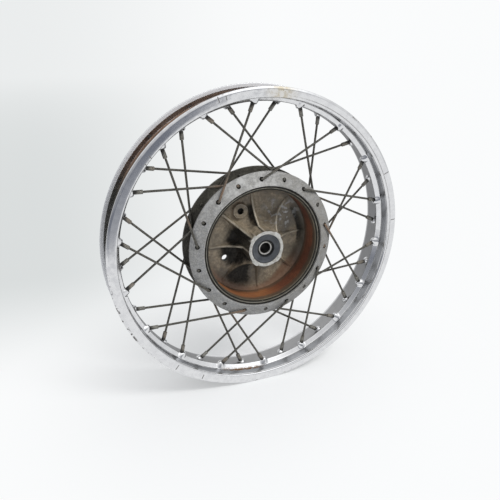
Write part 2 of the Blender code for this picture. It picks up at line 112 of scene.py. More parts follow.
class Pattern:
    """Output of a shader node that can be reckoned with like a number."""

    def __init__(self, socket):
        self.socket = socket
        self.tree = socket.id_data

    def reckon(self, operation, other=0.0):
        """Result of a Math node that has this pattern first."""
        node = add_node(self.tree, "ShaderNodeMath", {0: self, 1: other}, operation=operation)
        return Pattern(node.outputs["Value"])

    def __add__(self, other):
        return self.reckon('ADD', other)

    def __sub__(self, other):
        return self.reckon('SUBTRACT', other)

    def __rsub__(self, number):
        node = add_node(self.tree, "ShaderNodeMath", {0: number, 1: self}, operation='SUBTRACT')
        return Pattern(node.outputs["Value"])

    def __mul__(self, other):
        return self.reckon('MULTIPLY', other)

    def __abs__(self):
        return self.reckon('ABSOLUTE')

    def rise(self, low, high, bottom=0.0, top=1.0):
        """Smooth step from bottom to top while the pattern goes from low to high."""
        values = {"Value": self, "From Min": low, "From Max": high, "To Min": bottom, "To Max": top}
        node = add_node(self.tree, "ShaderNodeMapRange", values, interpolation_type='SMOOTHSTEP')
        return Pattern(node.outputs["Result"])

    def fall(self, low, high):
        """Smooth step from 1 to 0 while the pattern goes from low to high."""
        return self.rise(low, high, 1.0, 0.0)

    def between(self, first, second):
        """Colour that goes from first to second while the pattern goes from 0 to 1."""
        ends = [end if isinstance(end, Pattern) else (*end, 1.0) for end in (first, second)]
        node = add_node(self.tree, "ShaderNodeMix", {0: self, 6: ends[0], 7: ends[1]}, data_type='RGBA')
        return Pattern(node.outputs[2])


print("a pattern can:", [name for name in vars(Pattern) if not name.startswith("_")])

# %% [markdown]
# Every finish starts from the place on the object, so stains stay where they are while the wheel turns. From
# that place come cloudy noise, the three coordinates and distances. At the end the patterns are joined to the
# inputs of the Principled BSDF. A painted image could do the same, but it would need unwrapping and would
# blur close up. Inside a finish all lengths are in metres, as Blender keeps them.

# %% Helpers that start and end a finish
def new_finish(name):
    """New material with its shader, and the place on the object as a pattern."""
    material = bpy.data.materials.new(name)
    material.use_nodes = True
    tree = material.node_tree
    place = Pattern(add_node(tree, "ShaderNodeTexCoord").outputs["Object"])
    return material, tree.nodes["Principled BSDF"], place


def noise(place, scale, detail=4.0, roughness=0.55):
    """Cloudy pattern from 0 to 1; scale counts clouds in a metre."""
    values = {"Vector": place, "Scale": scale, "Detail": detail, "Roughness": roughness}
    return Pattern(add_node(place.tree, "ShaderNodeTexNoise", values).outputs["Fac"])


def axes(place):
    """The x, y and z of a place."""
    return [Pattern(socket) for socket in add_node(place.tree, "ShaderNodeSeparateXYZ", {0: place}).outputs]


def with_vector(operation, place, other=(0.0, 0.0, 0.0), output="Value"):
    """Result of a Vector Math node on a place."""
    node = add_node(place.tree, "ShaderNodeVectorMath", {0: place, 1: other}, operation=operation)
    return Pattern(node.outputs[output])


def wear(shader, **patterns):
    """Join patterns to the shader's inputs, named with underscores for spaces."""
    for name, pattern in patterns.items():
        pattern.tree.links.new(pattern.socket, shader.inputs[name.replace("_", " ")])


print("helpers for finishes ready")

# %% [markdown]
# ## Floor
#
# The wheel stands in a plain white studio. Its floor keeps the soft shadow near the wheel and fades into the
# white room further out, where painted shade makes it greyer towards the back left. Chrome shows what stands
# round it more than its own colour, so what a mirror sees of the floor is set apart with the Light Path node:
# the camera gets the white floor with that painted shade, while the rim reflects a greyer one with a dark
# corner. Real cards and black flags would do it too, but they would also stand in the light.

# %% Floor finish
ROOM_WHITE = (0.96, 0.97, 0.975)
ROOM_SHADE = (0.70, 0.725, 0.725)
# Point on the floor from which the painted shade on the greyer side of the room is reckoned.
STANDPOINT = (-0.33, -0.77, 0.0)
# Slope and shift of the line that bounds the dark corner of the mirrored floor.
CORNER_LINE = (1.0, 0.36, 0.0)
CORNER_SHIFT = 0.216


def ray_kinds(tree):
    """1 for what the camera sees, and 1 for what mirrors see."""
    path = add_node(tree, "ShaderNodeLightPath").outputs
    return Pattern(path["Is Camera Ray"]), Pattern(path["Is Glossy Ray"])


def mix_shaders(share, first, second):
    """Shader that goes from first to second while a pattern goes from 0 to 1."""
    return Pattern(add_node(share.tree, "ShaderNodeMixShader", {0: share, 1: first, 2: second}).outputs[0])


def shine(kind, colour, strength=1.0):
    """Emission or Background shader with a pattern as its colour."""
    return Pattern(add_node(colour.tree, kind, {"Color": colour, "Strength": strength}).outputs[0])


def left_share(way):
    """1 towards the back left of the room, where shade is painted, 0 on its other sides."""
    x, y, _ = axes(way)
    return x.fall(0.0, 0.44) * y.rise(0.2, 0.7)


def floor_finish():
    """White floor that keeps the shadow, fades into the room with painted shade at the back left, and looks
    greyer in mirrors.
    """
    material, shader, place = new_finish("white_floor")
    camera_ray, mirror_ray = ray_kinds(place.tree)
    wear(shader, Base_Color=noise(place, 3.0).between((0.86, 0.875, 0.885), (0.90, 0.91, 0.92)))
    shader.inputs["Roughness"].default_value = 0.8
    y = axes(place)[1]
    distance = with_vector('LENGTH', place)
    away = with_vector('SUBTRACT', place, STANDPOINT, "Vector")
    way = with_vector('NORMALIZE', away, output="Vector")
    # Painted shade: seen by the camera, the floor turns greyer towards the back left of the room.
    grey = left_share(way) * y.rise(0.05, 0.60) * distance.rise(1.0, 8.0, 1.0, 0.5)
    pale = shine("ShaderNodeEmission", grey.between(ROOM_WHITE, ROOM_SHADE))
    fade = distance.rise(0.05, 0.45, 0.4, 1.0) * camera_ray
    seen = mix_shaders(fade, Pattern(shader.outputs[0]), pale)

    across = with_vector('DOT_PRODUCT', place, CORNER_LINE) + CORNER_SHIFT
    corner = across.fall(-0.08, 0.10) * y.fall(-0.85, -0.62) * y.rise(-2.2, -0.9, 1.0, 0.75)
    ahead = corner.between((0.88, 0.885, 0.89), (0.19, 0.203, 0.24))
    mirrored = shine("ShaderNodeEmission", y.rise(0.0, 0.25).between(ahead, (0.52, 0.525, 0.535)))
    surface = mix_shaders(mirror_ray, seen, mirrored)
    place.tree.links.new(surface.socket, place.tree.nodes["Material Output"].inputs["Surface"])
    return material


white_floor = floor_finish()
print("finish:", white_floor.name)

# %% [markdown] The floor itself is one large square at the lowest point of the rim. It could be a curved
# backdrop, but with the fade into the room nobody sees where it ends.

# %% Lay the floor
FLOOR_Z = -0.2425
FLOOR_REACH = 14.0


def add_floor():
    """Large square floor under the wheel."""
    mesh = bpy.data.meshes.new("floor")
    corners = [(-FLOOR_REACH, -FLOOR_REACH, 0), (FLOOR_REACH, -FLOOR_REACH, 0),
               (FLOOR_REACH, FLOOR_REACH, 0), (-FLOOR_REACH, FLOOR_REACH, 0)]
    mesh.from_pydata(corners, [], [(0, 1, 2, 3)])
    mesh.materials.append(white_floor)
    floor = bpy.data.objects.new("floor", mesh)
    floor.location = (0, 0, FLOOR_Z)
    scene.collection.objects.link(floor)


add_floor()
print("floor at", FLOOR_Z, "m")

# %% [markdown]
# ## Room
#
# The world lights the wheel evenly from all round. It could be a photographed studio, but three smooth grades
# are enough: white for the camera with painted shade towards the back left, an even pale blue for the
# surfaces, and for mirrors a room that is darker on the left than on the right and has one bright softbox
# above.

# %% Build the room
SOFTBOX = (0.40, -0.50, 0.77)
EVEN_COLOUR = (0.95, 0.97, 1.0, 1.0)
EVEN_STRENGTH = 0.42


def add_room():
    """World: white with painted shade to the back left for the camera, even light for the surfaces, and a
    graded room for mirrors.
    """
    world = bpy.data.worlds.new("room")
    world.use_nodes = True
    tree = world.node_tree
    tree.nodes.clear()
    camera_ray, mirror_ray = ray_kinds(tree)
    way = Pattern(add_node(tree, "ShaderNodeTexCoord").outputs["Generated"])
    x, y, z = axes(way)
    back = z.rise(0.10, 0.55).between((0.55, 0.555, 0.565), (0.85, 0.855, 0.86))
    left = z.rise(0.05, 0.85).between((0.29, 0.30, 0.325), (1.0, 1.0, 1.0))
    front = x.rise(0.3, 0.75).between(left, (0.78, 0.785, 0.79))
    lamp = with_vector('DOT_PRODUCT', way, SOFTBOX).rise(0.88, 0.97, 1.0, 1.7)
    mirrored = shine("ShaderNodeBackground", y.fall(-0.5, 0.2).between(back, front), lamp)
    # Painted shade: what the camera sees of the room is greyer towards the back left.
    seen = shine("ShaderNodeBackground", (left_share(way) * 0.5).between(ROOM_WHITE, ROOM_SHADE))
    even = add_node(tree, "ShaderNodeBackground", {"Color": EVEN_COLOUR, "Strength": EVEN_STRENGTH})
    inner = mix_shaders(mirror_ray, Pattern(even.outputs[0]), mirrored)
    outer = mix_shaders(camera_ray, inner, seen)
    output = tree.nodes.new("ShaderNodeOutputWorld")
    tree.links.new(outer.socket, output.inputs["Surface"])
    scene.world = world


add_room()
print("room:", scene.world.name)

# %% [markdown]
# ## Lights
#
# A soft key light hangs in front on the upper right and a wide fill light on the left, so the wheel throws a
# soft shadow to its left. Area lights give soft edges by their size alone. Mirrors don't see the two lights,
# because the graded room already has its own softbox.

# %% Hang the lights
KEY_LIGHT = {"place": (0.85, -1.05, 1.45), "size": 0.6, "power": 31.0, "colour": (1.0, 0.99, 0.97)}
FILL_LIGHT = {"place": (-1.1, -1.3, 1.0), "size": 1.4, "power": 7.0, "colour": (0.95, 0.97, 1.0)}


def add_light(name, place, size, power, colour):
    """Square soft light that points at the wheel's centre."""
    data = bpy.data.lights.new(name, 'AREA')
    data.shape = 'SQUARE'
    data.size = size
    data.energy = power
    data.color = colour
    light = bpy.data.objects.new(name, data)
    light.location = place
    light.rotation_mode = 'QUATERNION'
    light.rotation_quaternion = (-Vector(place)).to_track_quat('-Z', 'Y')
    light.visible_glossy = False
    scene.collection.objects.link(light)
    return light


key_light = add_light("key_light", **KEY_LIGHT)
fill_light = add_light("fill_light", **FILL_LIGHT)
scene.view_settings.view_transform = 'Standard'
print("lights:", key_light.data.energy, "W and", fill_light.data.energy, "W")

# %% [markdown]
# ## The lacing
#
# Each hub flange has eighteen spoke holes. The spokes leave by turns on the outer and the inner face, and
# lean by turns to the left and the right, so that they cross and pull the rim both ways round. Where each
# spoke starts, bends and meets the rim is worked out once, because the rim's dimples, the hub's holes and the
# spokes themselves all follow from it. Lengths of pieces are in millimetres, and clock angles count from the
# top.

# %% Lay out the spokes
HOLES_PER_FLANGE = 18
SPOKE_PITCH = math.pi / HOLES_PER_FLANGE
CROSSING_ANGLE = math.radians(40.0)
LACING_PHASE = math.radians(-2.4)
SPOKE_CIRCLE = 109.0
SPOKE_RADIUS = 1.75
WELL_UNDERSIDE = 219.5
NIPPLE_STAGGER = 3.0
FLANGE_BACK_Y = 17.5
FLANGE_EDGE_Y = 20.3
HUB_FACE_Y = 30.4
HUB_FLANGE_RADIUS = 119.2
DRUM_LIP_RADIUS = 98.0
CONE_SLOPE = (HUB_FACE_Y - FLANGE_EDGE_Y) / (HUB_FLANGE_RADIUS - DRUM_LIP_RADIUS)
SEAT_DEPTH = 2.4
GAP = 0.3


def on_wheel(radius, clock, y):
    """Point at a radius and clock angle, at a place along the axle."""
    return Vector((radius * math.sin(clock), y, radius * math.cos(clock)))


def cone_y(radius):
    """Distance from the wheel's middle plane to a hub flange's outer face."""
    return HUB_FACE_Y - (radius - DRUM_LIP_RADIUS) * CONE_SLOPE


def lay_spokes():
    """Start, bend and rim point of each spoke, by its number."""
    lines = {}
    for side in (-1, 1):
        for hole in range(HOLES_PER_FLANGE):
            outside = (hole % 2 == 0) == (side < 0)
            clock = LACING_PHASE + 2 * SPOKE_PITCH * (hole + (0.5 if side > 0 else 0.0))
            rim_clock = clock + (-side if outside else side) * CROSSING_ANGLE
            if outside:
                seat_y = FLANGE_BACK_Y - GAP
                bend_y = cone_y(SPOKE_CIRCLE - SPOKE_RADIUS) + SPOKE_RADIUS + GAP
            else:
                seat_y = cone_y(SPOKE_CIRCLE) - SEAT_DEPTH + GAP
                bend_y = FLANGE_BACK_Y - SPOKE_RADIUS - GAP
            bend = on_wheel(SPOKE_CIRCLE, clock, side * bend_y)
            rim_point = on_wheel(WELL_UNDERSIDE, rim_clock, side * NIPPLE_STAGGER)
            number = round((rim_clock - LACING_PHASE) / SPOKE_PITCH) % (2 * HOLES_PER_FLANGE) + 1
            lines[number] = {
                "side": side, "outside": outside, "clock": clock, "rim_clock": rim_clock,
                "out": Vector((0, side if outside else -side, 0)),
                "seat": on_wheel(SPOKE_CIRCLE, clock, side * seat_y), "bend": bend,
                "rim_point": rim_point, "run": (rim_point - bend).normalized(),
            }
    return lines


lines = lay_spokes()
length = (lines[1]["rim_point"] - lines[1]["bend"]).length
print("spokes:", len(lines), "length of one:", round(length, 1), "mm")

# %% [markdown]
# ## Places on the wheel
#
# Stains on a wheel follow its shape: they lie at a distance from the axle, at a clock angle or round one
# spot. These helpers turn the place on the object into such measures. Coordinates made by unwrapping could do
# it too, but then each piece would need a layout of its own.

# %% Helpers for places and bumps
def radius_of(place):
    """Distance of a place from the axle."""
    return with_vector('LENGTH', with_vector('MULTIPLY', place, (1.0, 0.0, 1.0), "Vector"))


def clock_of(place):
    """Clock angle of a place round the axle."""
    x, _, z = axes(place)
    return x.reckon('ARCTAN2', z)


def near(place, point, reach):
    """1 at a point on the object, falling to 0 at the given reach."""
    return with_vector('DISTANCE', place, point).fall(0.0, reach)


def highest(first, *others):
    """Highest of several patterns."""
    for other in others:
        first = first.reckon('MAXIMUM', other)
    return first


def roughen(shader, height, distance, strength):
    """Small bumps on the surface, from a height pattern."""
    values = {"Height": height, "Distance": distance, "Strength": strength}
    bump = add_node(height.tree, "ShaderNodeBump", values)
    height.tree.links.new(bump.outputs["Normal"], shader.inputs["Normal"])


print("helpers for places ready")

# %% [markdown]
# ## Chrome for the rim
#
# Chrome plate is a very thin mirror over steel. Where water stood, it has gone dull and let rust through:
# tiny pits in patches, dark chips along the edges that met kerbs and tyre levers, and scores across the
# flange. Noise patterns at several sizes decide where the mirror is dull or broken, and the same pattern
# drives colour, roughness and metal share, because all three change together on a real stain.

# %% Chrome finish
RIM_OFFSET = 3.5
SCORE_HALF_WIDTH = (0.0020, 0.0042)
SCORE_END = 0.001
# Clock angle in degrees, and inner and outer radius in metres, of each score.
CROSS_LINES = [
    (-17.4, 0.2325, 0.2420), (-14.6, 0.2325, 0.2400), (-140.8, 0.2300, 0.2400), (-153.0, 0.2310, 0.2400),
    (65.2, 0.2310, 0.2420), (85.8, 0.2320, 0.2410), (-47.7, 0.2270, 0.2330), (-50.6, 0.2270, 0.2310),
]


def cross_lines(place, radius):
    """Thin scores across the front flange."""
    clock = clock_of(place)
    scores = []
    for degrees, low, high in CROSS_LINES:
        score = abs(clock - math.radians(degrees)).fall(*SCORE_HALF_WIDTH)
        scores.append(score * radius.rise(low, low + SCORE_END) * radius.fall(high - SCORE_END, high))
    return highest(*scores) * axes(place)[1].fall(-0.026, -0.025)


def chrome_finish():
    """Aged chrome plate with haze, pits, scores, rusty chips on the edges and painted dark reflections."""
    material, shader, place = new_finish("aged_chrome")
    x, y, z = axes(place)
    radius = radius_of(place)
    mottle = noise(place, 130.0, 5.0, 0.62).rise(0.36, 0.68)

    # Clean plate, paler where it is mottled less and darker at the upper left as a painted reflection, and a
    # grey band on the hub side.
    # Painted reflection: the plate is darker and bluer towards the upper left.
    upper_left = (z - x).rise(0.12, 0.30)
    mottle_and_reflection = upper_left.between((0.745, 0.75, 0.765), (0.69, 0.697, 0.718))
    clean = mottle.between((0.815, 0.82, 0.83), mottle_and_reflection)
    level = highest(y.fall(-0.0108, -0.0095), y.rise(-0.0048, -0.0030))
    aside = abs(y - RIM_OFFSET * MM)
    under = level * radius.fall(0.2280, 0.2288) * radius.rise(0.2178, 0.2190) * aside.fall(0.0258, 0.0288)
    # The undersides on the hub side are painted greyer, darker towards the back.
    underside_grey = y.rise(-0.012, -0.002).between((0.385, 0.397, 0.418), (0.288, 0.288, 0.288))
    silver = (under * 0.8).between(clean, underside_grey)

    # A brown stain at the top and rust that has bled from the seam at the bottom.
    stain = near(place, (0.025, -0.028, 0.237), 0.034) * mottle.rise(0.0, 0.8, 0.25, 0.8)
    tinted = stain.between(silver, (0.60, 0.52, 0.36))
    seam = abs(y + 0.0112).fall(0.0012, 0.0042) * abs(x + 0.030).fall(0.022, 0.044)
    below = seam * z.fall(-0.21, -0.20) * radius.fall(0.2278, 0.2284)
    bled = below * noise(place, 220.0, 4.0).rise(0.34, 0.52)
    rusted = bled.between(tinted, (0.17, 0.085, 0.032))

    # Where the plate is broken: pits, chips on the lip and scores across it; a painted dark reflection line
    # runs round the inner edge of the flange on the right.
    pits = noise(place, 900.0, 2.0).rise(0.66, 0.72) * noise(place, 24.0, 3.0).rise(0.52, 0.64)
    kerbed = near(place, (-0.222, -0.026, -0.094), 0.115)
    nicked = highest(kerbed, noise(place, 30.0, 2.0).rise(0.60, 0.66) * 0.8)
    chips = noise(place, 230.0, 4.0).rise(0.54, 0.60) * radius.rise(0.2384, 0.2408) * nicked
    # Painted reflection: a thin dark line near the flange's inner edge, on the right of the wheel.
    dark_line_ring = abs(radius - 0.2309).fall(0.0003, 0.0009) * y.fall(-0.0270, -0.0262)
    painted_dark_line = dark_line_ring * x.rise(0.02, 0.10, 0.0, 0.6)
    broken_and_dark_line = highest(pits * 0.5, chips, painted_dark_line, cross_lines(place, radius) * 0.85)
    colour = broken_and_dark_line.between(rusted, (0.055, 0.045, 0.038))

    spoilt_and_dark_line = highest(broken_and_dark_line, bled * 0.9)
    haze = noise(place, 16.0, 5.0).rise(0.35, 0.70) + mottle
    dull = haze.rise(0.2, 1.8, 0.09, 0.19) + (spoilt_and_dark_line * 0.35 + under * 0.24)
    wear(shader, Base_Color=colour, Roughness=dull, Metallic=1.0 - spoilt_and_dark_line * 0.8)
    roughen(shader, noise(place, 90.0, 2.0) - spoilt_and_dark_line * 0.5, 0.0005, 0.08)
    return material


aged_chrome = chrome_finish()
print("finish:", aged_chrome.name, "with", len(aged_chrome.node_tree.nodes), "nodes")

# %% [markdown]
# ## Tyre bed
#
# The tyre hid the bed between the flanges. Just under the lips the plate is still pale. Further in it is
# brown with rust near the top of the wheel and nearly black with dirt lower down. Two colours could meet in a
# hard line, but a real tide mark wanders, so noise is added to the radius before the step between them.

# %% Tyre bed finish
def tyre_bed_finish():
    """Steel that the tyre hid: pale plate under the lips, then rust and dirt down to the well."""
    material, shader, place = new_finish("tyre_bed")
    z = axes(place)[2]
    cloud = noise(place, 40.0, 6.0)
    fleck = noise(place, 260.0, 4.0).rise(0.45, 0.65)
    rust = cloud.rise(0.35, 0.65).between((0.125, 0.072, 0.047), (0.235, 0.155, 0.110))
    dark = fleck.between((0.042, 0.040, 0.033), (0.105, 0.098, 0.080))
    dirt = z.rise(0.08, 0.15).between(dark, rust)
    edge = radius_of(place) + (noise(place, 70.0, 2.0) - 0.5) * 0.004
    plate = (edge - z.rise(0.06, 0.15, 0.005, 0.0)).rise(0.2298, 0.2322)
    silver = cloud.between((0.68, 0.685, 0.71), (0.80, 0.805, 0.82))
    wear(shader, Base_Color=plate.between(dirt, silver), Roughness=plate.rise(0.0, 1.0, 0.7, 0.3),
         Metallic=plate * 0.3)
    roughen(shader, fleck * (1.0 - plate), 0.0006, 0.4)
    return material


tyre_bed = tyre_bed_finish()
print("finish:", tyre_bed.name)

# %% [markdown]
# ## Outlines with rounded corners
#
# Nearly everything here is round, so most pieces are turned: an outline of (y, radius) points in millimetres
# is swept round the axle. The corners of an outline are rounded first, because light always finds a bright
# line on a rounded edge. A Bevel modifier could do it after turning, but here each corner has its own size.

# %% Helpers for outlines
CORNER_STEPS = 5
ROUNDING_LIMIT = 0.49


def rounded(corners, steps=CORNER_STEPS):
    """Outline with rounded corners, from corners of (y, radius, rounding)."""
    points = []
    count = len(corners)
    for i, (y, radius, rounding) in enumerate(corners):
        here = np.array((y, radius), float)
        before = np.array(corners[i - 1][:2], float) - here
        after = np.array(corners[(i + 1) % count][:2], float) - here
        if rounding <= 0:
            points.append(here)
            continue
        lengths = np.linalg.norm(before), np.linalg.norm(after)
        before, after = before / lengths[0], after / lengths[1]
        half = math.acos(np.clip(before @ after, -1, 1)) / 2
        back = min(rounding / math.tan(half), ROUNDING_LIMIT * min(lengths))
        size = back * math.tan(half)
        middle = here + (before + after) / np.linalg.norm(before + after) * size / math.sin(half)
        start, end = here + before * back - middle, here + after * back - middle
        sweep = math.acos(np.clip(start @ end / size ** 2, -1, 1))
        for k in range(steps + 1):
            share = k / steps
            arm = (start * math.sin((1 - share) * sweep) + end * math.sin(share * sweep)) / math.sin(sweep)
            points.append(middle + arm)
    return np.array(points)


def fine(outline, spacing):
    """Outline with extra points, so that no stretch is longer than the spacing at its start."""
    points = []
    for here, after in zip(outline, np.roll(outline, -1, axis=0)):
        pieces = max(1, math.ceil(np.linalg.norm(after - here) / spacing(here)))
        points += [here + (after - here) * k / pieces for k in range(pieces)]
    return np.array(points)


def outward(outline):
    """Outline in the order that makes its turned faces look outwards."""
    outline = np.asarray(outline, float)
    after = np.roll(outline, -1, axis=0)
    area = np.sum(outline[:, 0] * after[:, 1] - after[:, 0] * outline[:, 1])
    return outline if area > 0 else outline[::-1]


print("points on a rounded corner:", CORNER_STEPS + 1)

# %% [markdown]
# ## Turning
#
# The Screw modifier turns an outline too, but with NumPy each point of the turned surface can also be moved,
# which gives dimples and ribs in the same step. Every piece is shaded smooth and gets sharp edges only where
# two faces meet at more than its crease angle.

# %% Helpers for turned pieces
CREASE = 35.0


def add_piece(name, points, faces, materials, indices=None, crease=CREASE):
    """Mesh object from points in millimetres, smooth except at its creases."""
    mesh = bpy.data.meshes.new(name)
    mesh.from_pydata((np.asarray(points) * MM).tolist(), [], faces)
    for material in materials:
        mesh.materials.append(material)
    if indices is not None:
        mesh.polygons.foreach_set("material_index", np.asarray(indices, np.int32))
    mesh.shade_smooth()
    mesh.set_sharp_from_angle(angle=math.radians(crease))
    piece = bpy.data.objects.new(name, mesh)
    scene.collection.objects.link(piece)
    return piece


def lathe_grid(outline, clocks, shape=None):
    """Points and faces of an outline that is turned round the axle."""
    rows = len(clocks)
    y = np.tile(outline[:, 0], (rows, 1))
    radius = np.tile(outline[:, 1], (rows, 1))
    clock = np.asarray(clocks)
    clock = clock if clock.ndim == 2 else np.tile(clock[:, None], (1, len(outline)))
    if shape:
        y, radius = shape(y, radius, clock)
    points = np.stack([radius * np.sin(clock), y, radius * np.cos(clock)], axis=-1).reshape(-1, 3)
    a = np.arange(rows * len(outline)).reshape(rows, -1)
    b = np.roll(a, -1, axis=1)
    faces = np.stack([a, b, np.roll(b, -1, axis=0), np.roll(a, -1, axis=0)], axis=-1).reshape(-1, 4)
    return points, faces


def turn(name, outline, steps, materials, zone=None, shape=None, crease=CREASE):
    """Turned piece; zone picks the material of each stretch of the outline from its y and radius."""
    outline = outward(outline)
    clocks = np.linspace(0, 2 * math.pi, steps, endpoint=False)
    points, faces = lathe_grid(outline, clocks, shape)
    indices = None
    if zone:
        middle = (outline + np.roll(outline, -1, axis=0)) / 2
        indices = np.tile(zone(middle[:, 0], middle[:, 1]), steps)
    return add_piece(name, points, faces.tolist(), materials, indices, crease)


print("crease angle:", CREASE, "degrees")

# %% [markdown]
# ## Rim section
#
# A steel rim is rolled from one strip. Its section has two upright flanges that hold the tyre, two level bead
# seats, and a well in the middle. Both halves are alike, so only one is written down and mirrored. It could
# be a curve turned with Screw, but the well needs closer points than the flanges, to carry the dimples.

# %% Rim section
RIM_RADIUS = 242.5
RIM_HALF_WIDTH = 31.9
BEAD_HALF_WIDTH = 27.3
BEAD_SEAT = 228.6
SEAT_UNDERSIDE = 226.4
WELL_FLOOR = 221.5
WELL_HALF_WIDTH = 7.6
SLOPE_END = 12.8
PLATE = 2.0
DIMPLED_HALF_WIDTH = 18.0
WELL_SPACING = 1.2
FLANGE_SPACING = 4.0
RIM_CORNER_STEPS = 6
BED_SHIFT = 0.6
LIP_DEPTH = 5.0
LIP_SPREAD = 0.4


def rim_outline():
    """Section of the rim with rounded corners, set off towards the sprocket side."""
    half = [
        (WELL_HALF_WIDTH, WELL_UNDERSIDE, 2.0),
        (SLOPE_END, SEAT_UNDERSIDE, 2.4),
        (RIM_HALF_WIDTH, SEAT_UNDERSIDE, 3.0),
        (RIM_HALF_WIDTH, RIM_RADIUS - 3.4, 3.0),
        (RIM_HALF_WIDTH - 1.5, RIM_RADIUS, 1.3),
        (BEAD_HALF_WIDTH + 0.3, RIM_RADIUS, 1.2),
        (BEAD_HALF_WIDTH, RIM_RADIUS - 5.5, 4.0),
        (BEAD_HALF_WIDTH, BEAD_SEAT, 2.2),
        (SLOPE_END - 1.3, BEAD_SEAT, 2.5),
        (WELL_HALF_WIDTH - 1.3, WELL_FLOOR, 2.0),
    ]
    corners = half + [(-y, radius, rounding) for y, radius, rounding in reversed(half)]
    section = fine(rounded(corners, RIM_CORNER_STEPS),
                   lambda point: WELL_SPACING if abs(point[0]) < DIMPLED_HALF_WIDTH else FLANGE_SPACING)
    return section + (RIM_OFFSET, 0.0)


def in_bed(y, radius):
    """Whether a place on the section faces the tyre."""
    across = np.abs(y - RIM_OFFSET)
    middle = np.interp(across, [WELL_HALF_WIDTH - BED_SHIFT, SLOPE_END - BED_SHIFT],
                       [WELL_UNDERSIDE + PLATE / 2, SEAT_UNDERSIDE + PLATE / 2])
    lip = LIP_SPREAD * np.maximum(radius - RIM_RADIUS + LIP_DEPTH, 0.0)
    return (radius > middle) & (across < BEAD_HALF_WIDTH + lip)


def rim_zone(y, radius):
    """1 in the tyre's bed, 0 on chrome."""
    return in_bed(y, radius).astype(np.int32)


section = rim_outline()
print("rim section:", len(section), "points")

# %% [markdown]
# ## Dimples of the rim
#
# For each spoke a dimple is pressed into the well, tilted so that the nipple sits square to its spoke. On the
# turned surface a dimple is a dome: wherever its dome lies nearer to the hub than the plate, the plate
# follows the dome, with a soft fillet between the two. A Boolean with spheres would leave a hard edge there.

# %% Turn the rim and press its dimples
RIM_STEPS = 1080
RIM_CREASE = 60.0
DIMPLE_CROWN = 215.9
DIMPLE_RISE = 10.6
DIMPLE_REACH = (8.8, 7.3)
DIMPLE_LIMIT = 14.0
DIMPLE_TILT_LIMIT = 3.0
DIMPLE_FILLET = 2.4


def smooth_max(first, second, width):
    """Higher of two heights, with a soft fillet where they meet."""
    share = np.maximum(width - np.abs(first - second), 0.0) / width
    return np.maximum(first, second) + share * share * width / 4


def press_dimples(y, radius, clock):
    """Push the well towards the hub in a dome under each nipple."""
    pushed = radius.copy()
    behind = np.where(in_bed(y, radius), PLATE, 0.0)
    pressed = (radius < BEAD_SEAT + 0.5) & (np.abs(y - RIM_OFFSET) < DIMPLED_HALF_WIDTH)
    for line in lines.values():
        run = line["run"]
        lean = run.dot(on_wheel(1.0, line["rim_clock"], 0.0))
        sideways = run.dot(on_wheel(1.0, line["rim_clock"] + math.pi / 2, 0.0))
        along = (clock - line["rim_clock"] + math.pi) % (2 * math.pi) - math.pi
        along = along * WELL_UNDERSIDE
        here = pressed & (np.abs(along) < DIMPLE_LIMIT)
        along = along[here]
        across = y[here] - line["side"] * NIPPLE_STAGGER
        away = np.hypot(along / DIMPLE_REACH[0], across / DIMPLE_REACH[1])
        tilt = (along * sideways + across * run.y) / lean
        tilt = np.clip(tilt, -DIMPLE_TILT_LIMIT, DIMPLE_TILT_LIMIT)
        dome = DIMPLE_CROWN + behind[here] - tilt + DIMPLE_RISE * away ** 3
        pushed[here] = -smooth_max(-pushed[here], -dome, DIMPLE_FILLET)
    return y, pushed


rim = turn("rim_plate", section, RIM_STEPS, [aged_chrome, tyre_bed], rim_zone, press_dimples, RIM_CREASE)
print("rim faces:", len(rim.data.polygons))

# %% [markdown]
# ## Round bars and cuts
#
# Drills, spokes and nipples are all round bars whose thickness changes along their way. A curve with a bevel
# could draw them, but a row of rings is exact and can turn square where a key grips. A Boolean modifier takes
# all the drills out of a piece in one cut, and its result becomes the new mesh of the piece.

# %% Helpers for bars and cuts
def tube(stations, sides):
    """Points and faces of a round bar through (point, direction, radius, flat); flats make it square."""
    heading = stations[0][1].normalized()
    arm = heading.orthogonal().normalized()
    points, faces = [], []
    for row, (point, direction, radius, flat) in enumerate(stations):
        arm = heading.rotation_difference(direction) @ arm
        heading = direction.normalized()
        other = heading.cross(arm)
        for k in range(sides):
            angle = 2 * math.pi * k / sides
            c, s = math.cos(angle), math.sin(angle)
            reach = min(radius, flat / max(abs(c), abs(s))) if flat else radius
            points.append(point + (arm * c + other * s) * reach)
        if row:
            low = (row - 1) * sides
            for k in range(sides):
                after = (k + 1) % sides
                faces.append((low + k, low + after, low + sides + after, low + sides + k))
    faces.append(tuple(reversed(range(sides))))
    faces.append(tuple(range(len(points) - sides, len(points))))
    return points, faces


def join_parts(parts):
    """One list of points and faces from several, with the part number of each face."""
    points, faces, numbers = [], [], []
    for number, (some_points, some_faces) in enumerate(parts):
        shift = len(points)
        points += [tuple(p) for p in some_points]
        faces += [tuple(i + shift for i in face) for face in some_faces]
        numbers += [number] * len(some_faces)
    return points, faces, numbers


def cut(piece, drills, material, crease=CREASE):
    """Take the shapes of several drills out of a piece; the walls of the holes get the material."""
    points, faces, _ = join_parts(drills)
    tool = add_piece("drills", points, faces, [material])
    modifier = piece.modifiers.new("cut", 'BOOLEAN')
    modifier.operation = 'DIFFERENCE'
    modifier.solver = 'EXACT'
    modifier.material_mode = 'TRANSFER'
    modifier.object = tool
    graph = bpy.context.evaluated_depsgraph_get()
    mesh = bpy.data.meshes.new_from_object(piece.evaluated_get(graph))
    piece.modifiers.clear()
    piece.data = mesh
    mesh.shade_smooth()
    mesh.set_sharp_from_angle(angle=math.radians(crease))
    bpy.data.objects.remove(tool)


print("helpers for bars and cuts ready")

# %% [markdown]
# ## Holes of the rim
#
# Each dimple has a hole for its nipple, and one more hole takes the valve. They could be left out of the
# turned surface, but then they would follow its grid. Drills in the direction of each spoke leave round
# edges.

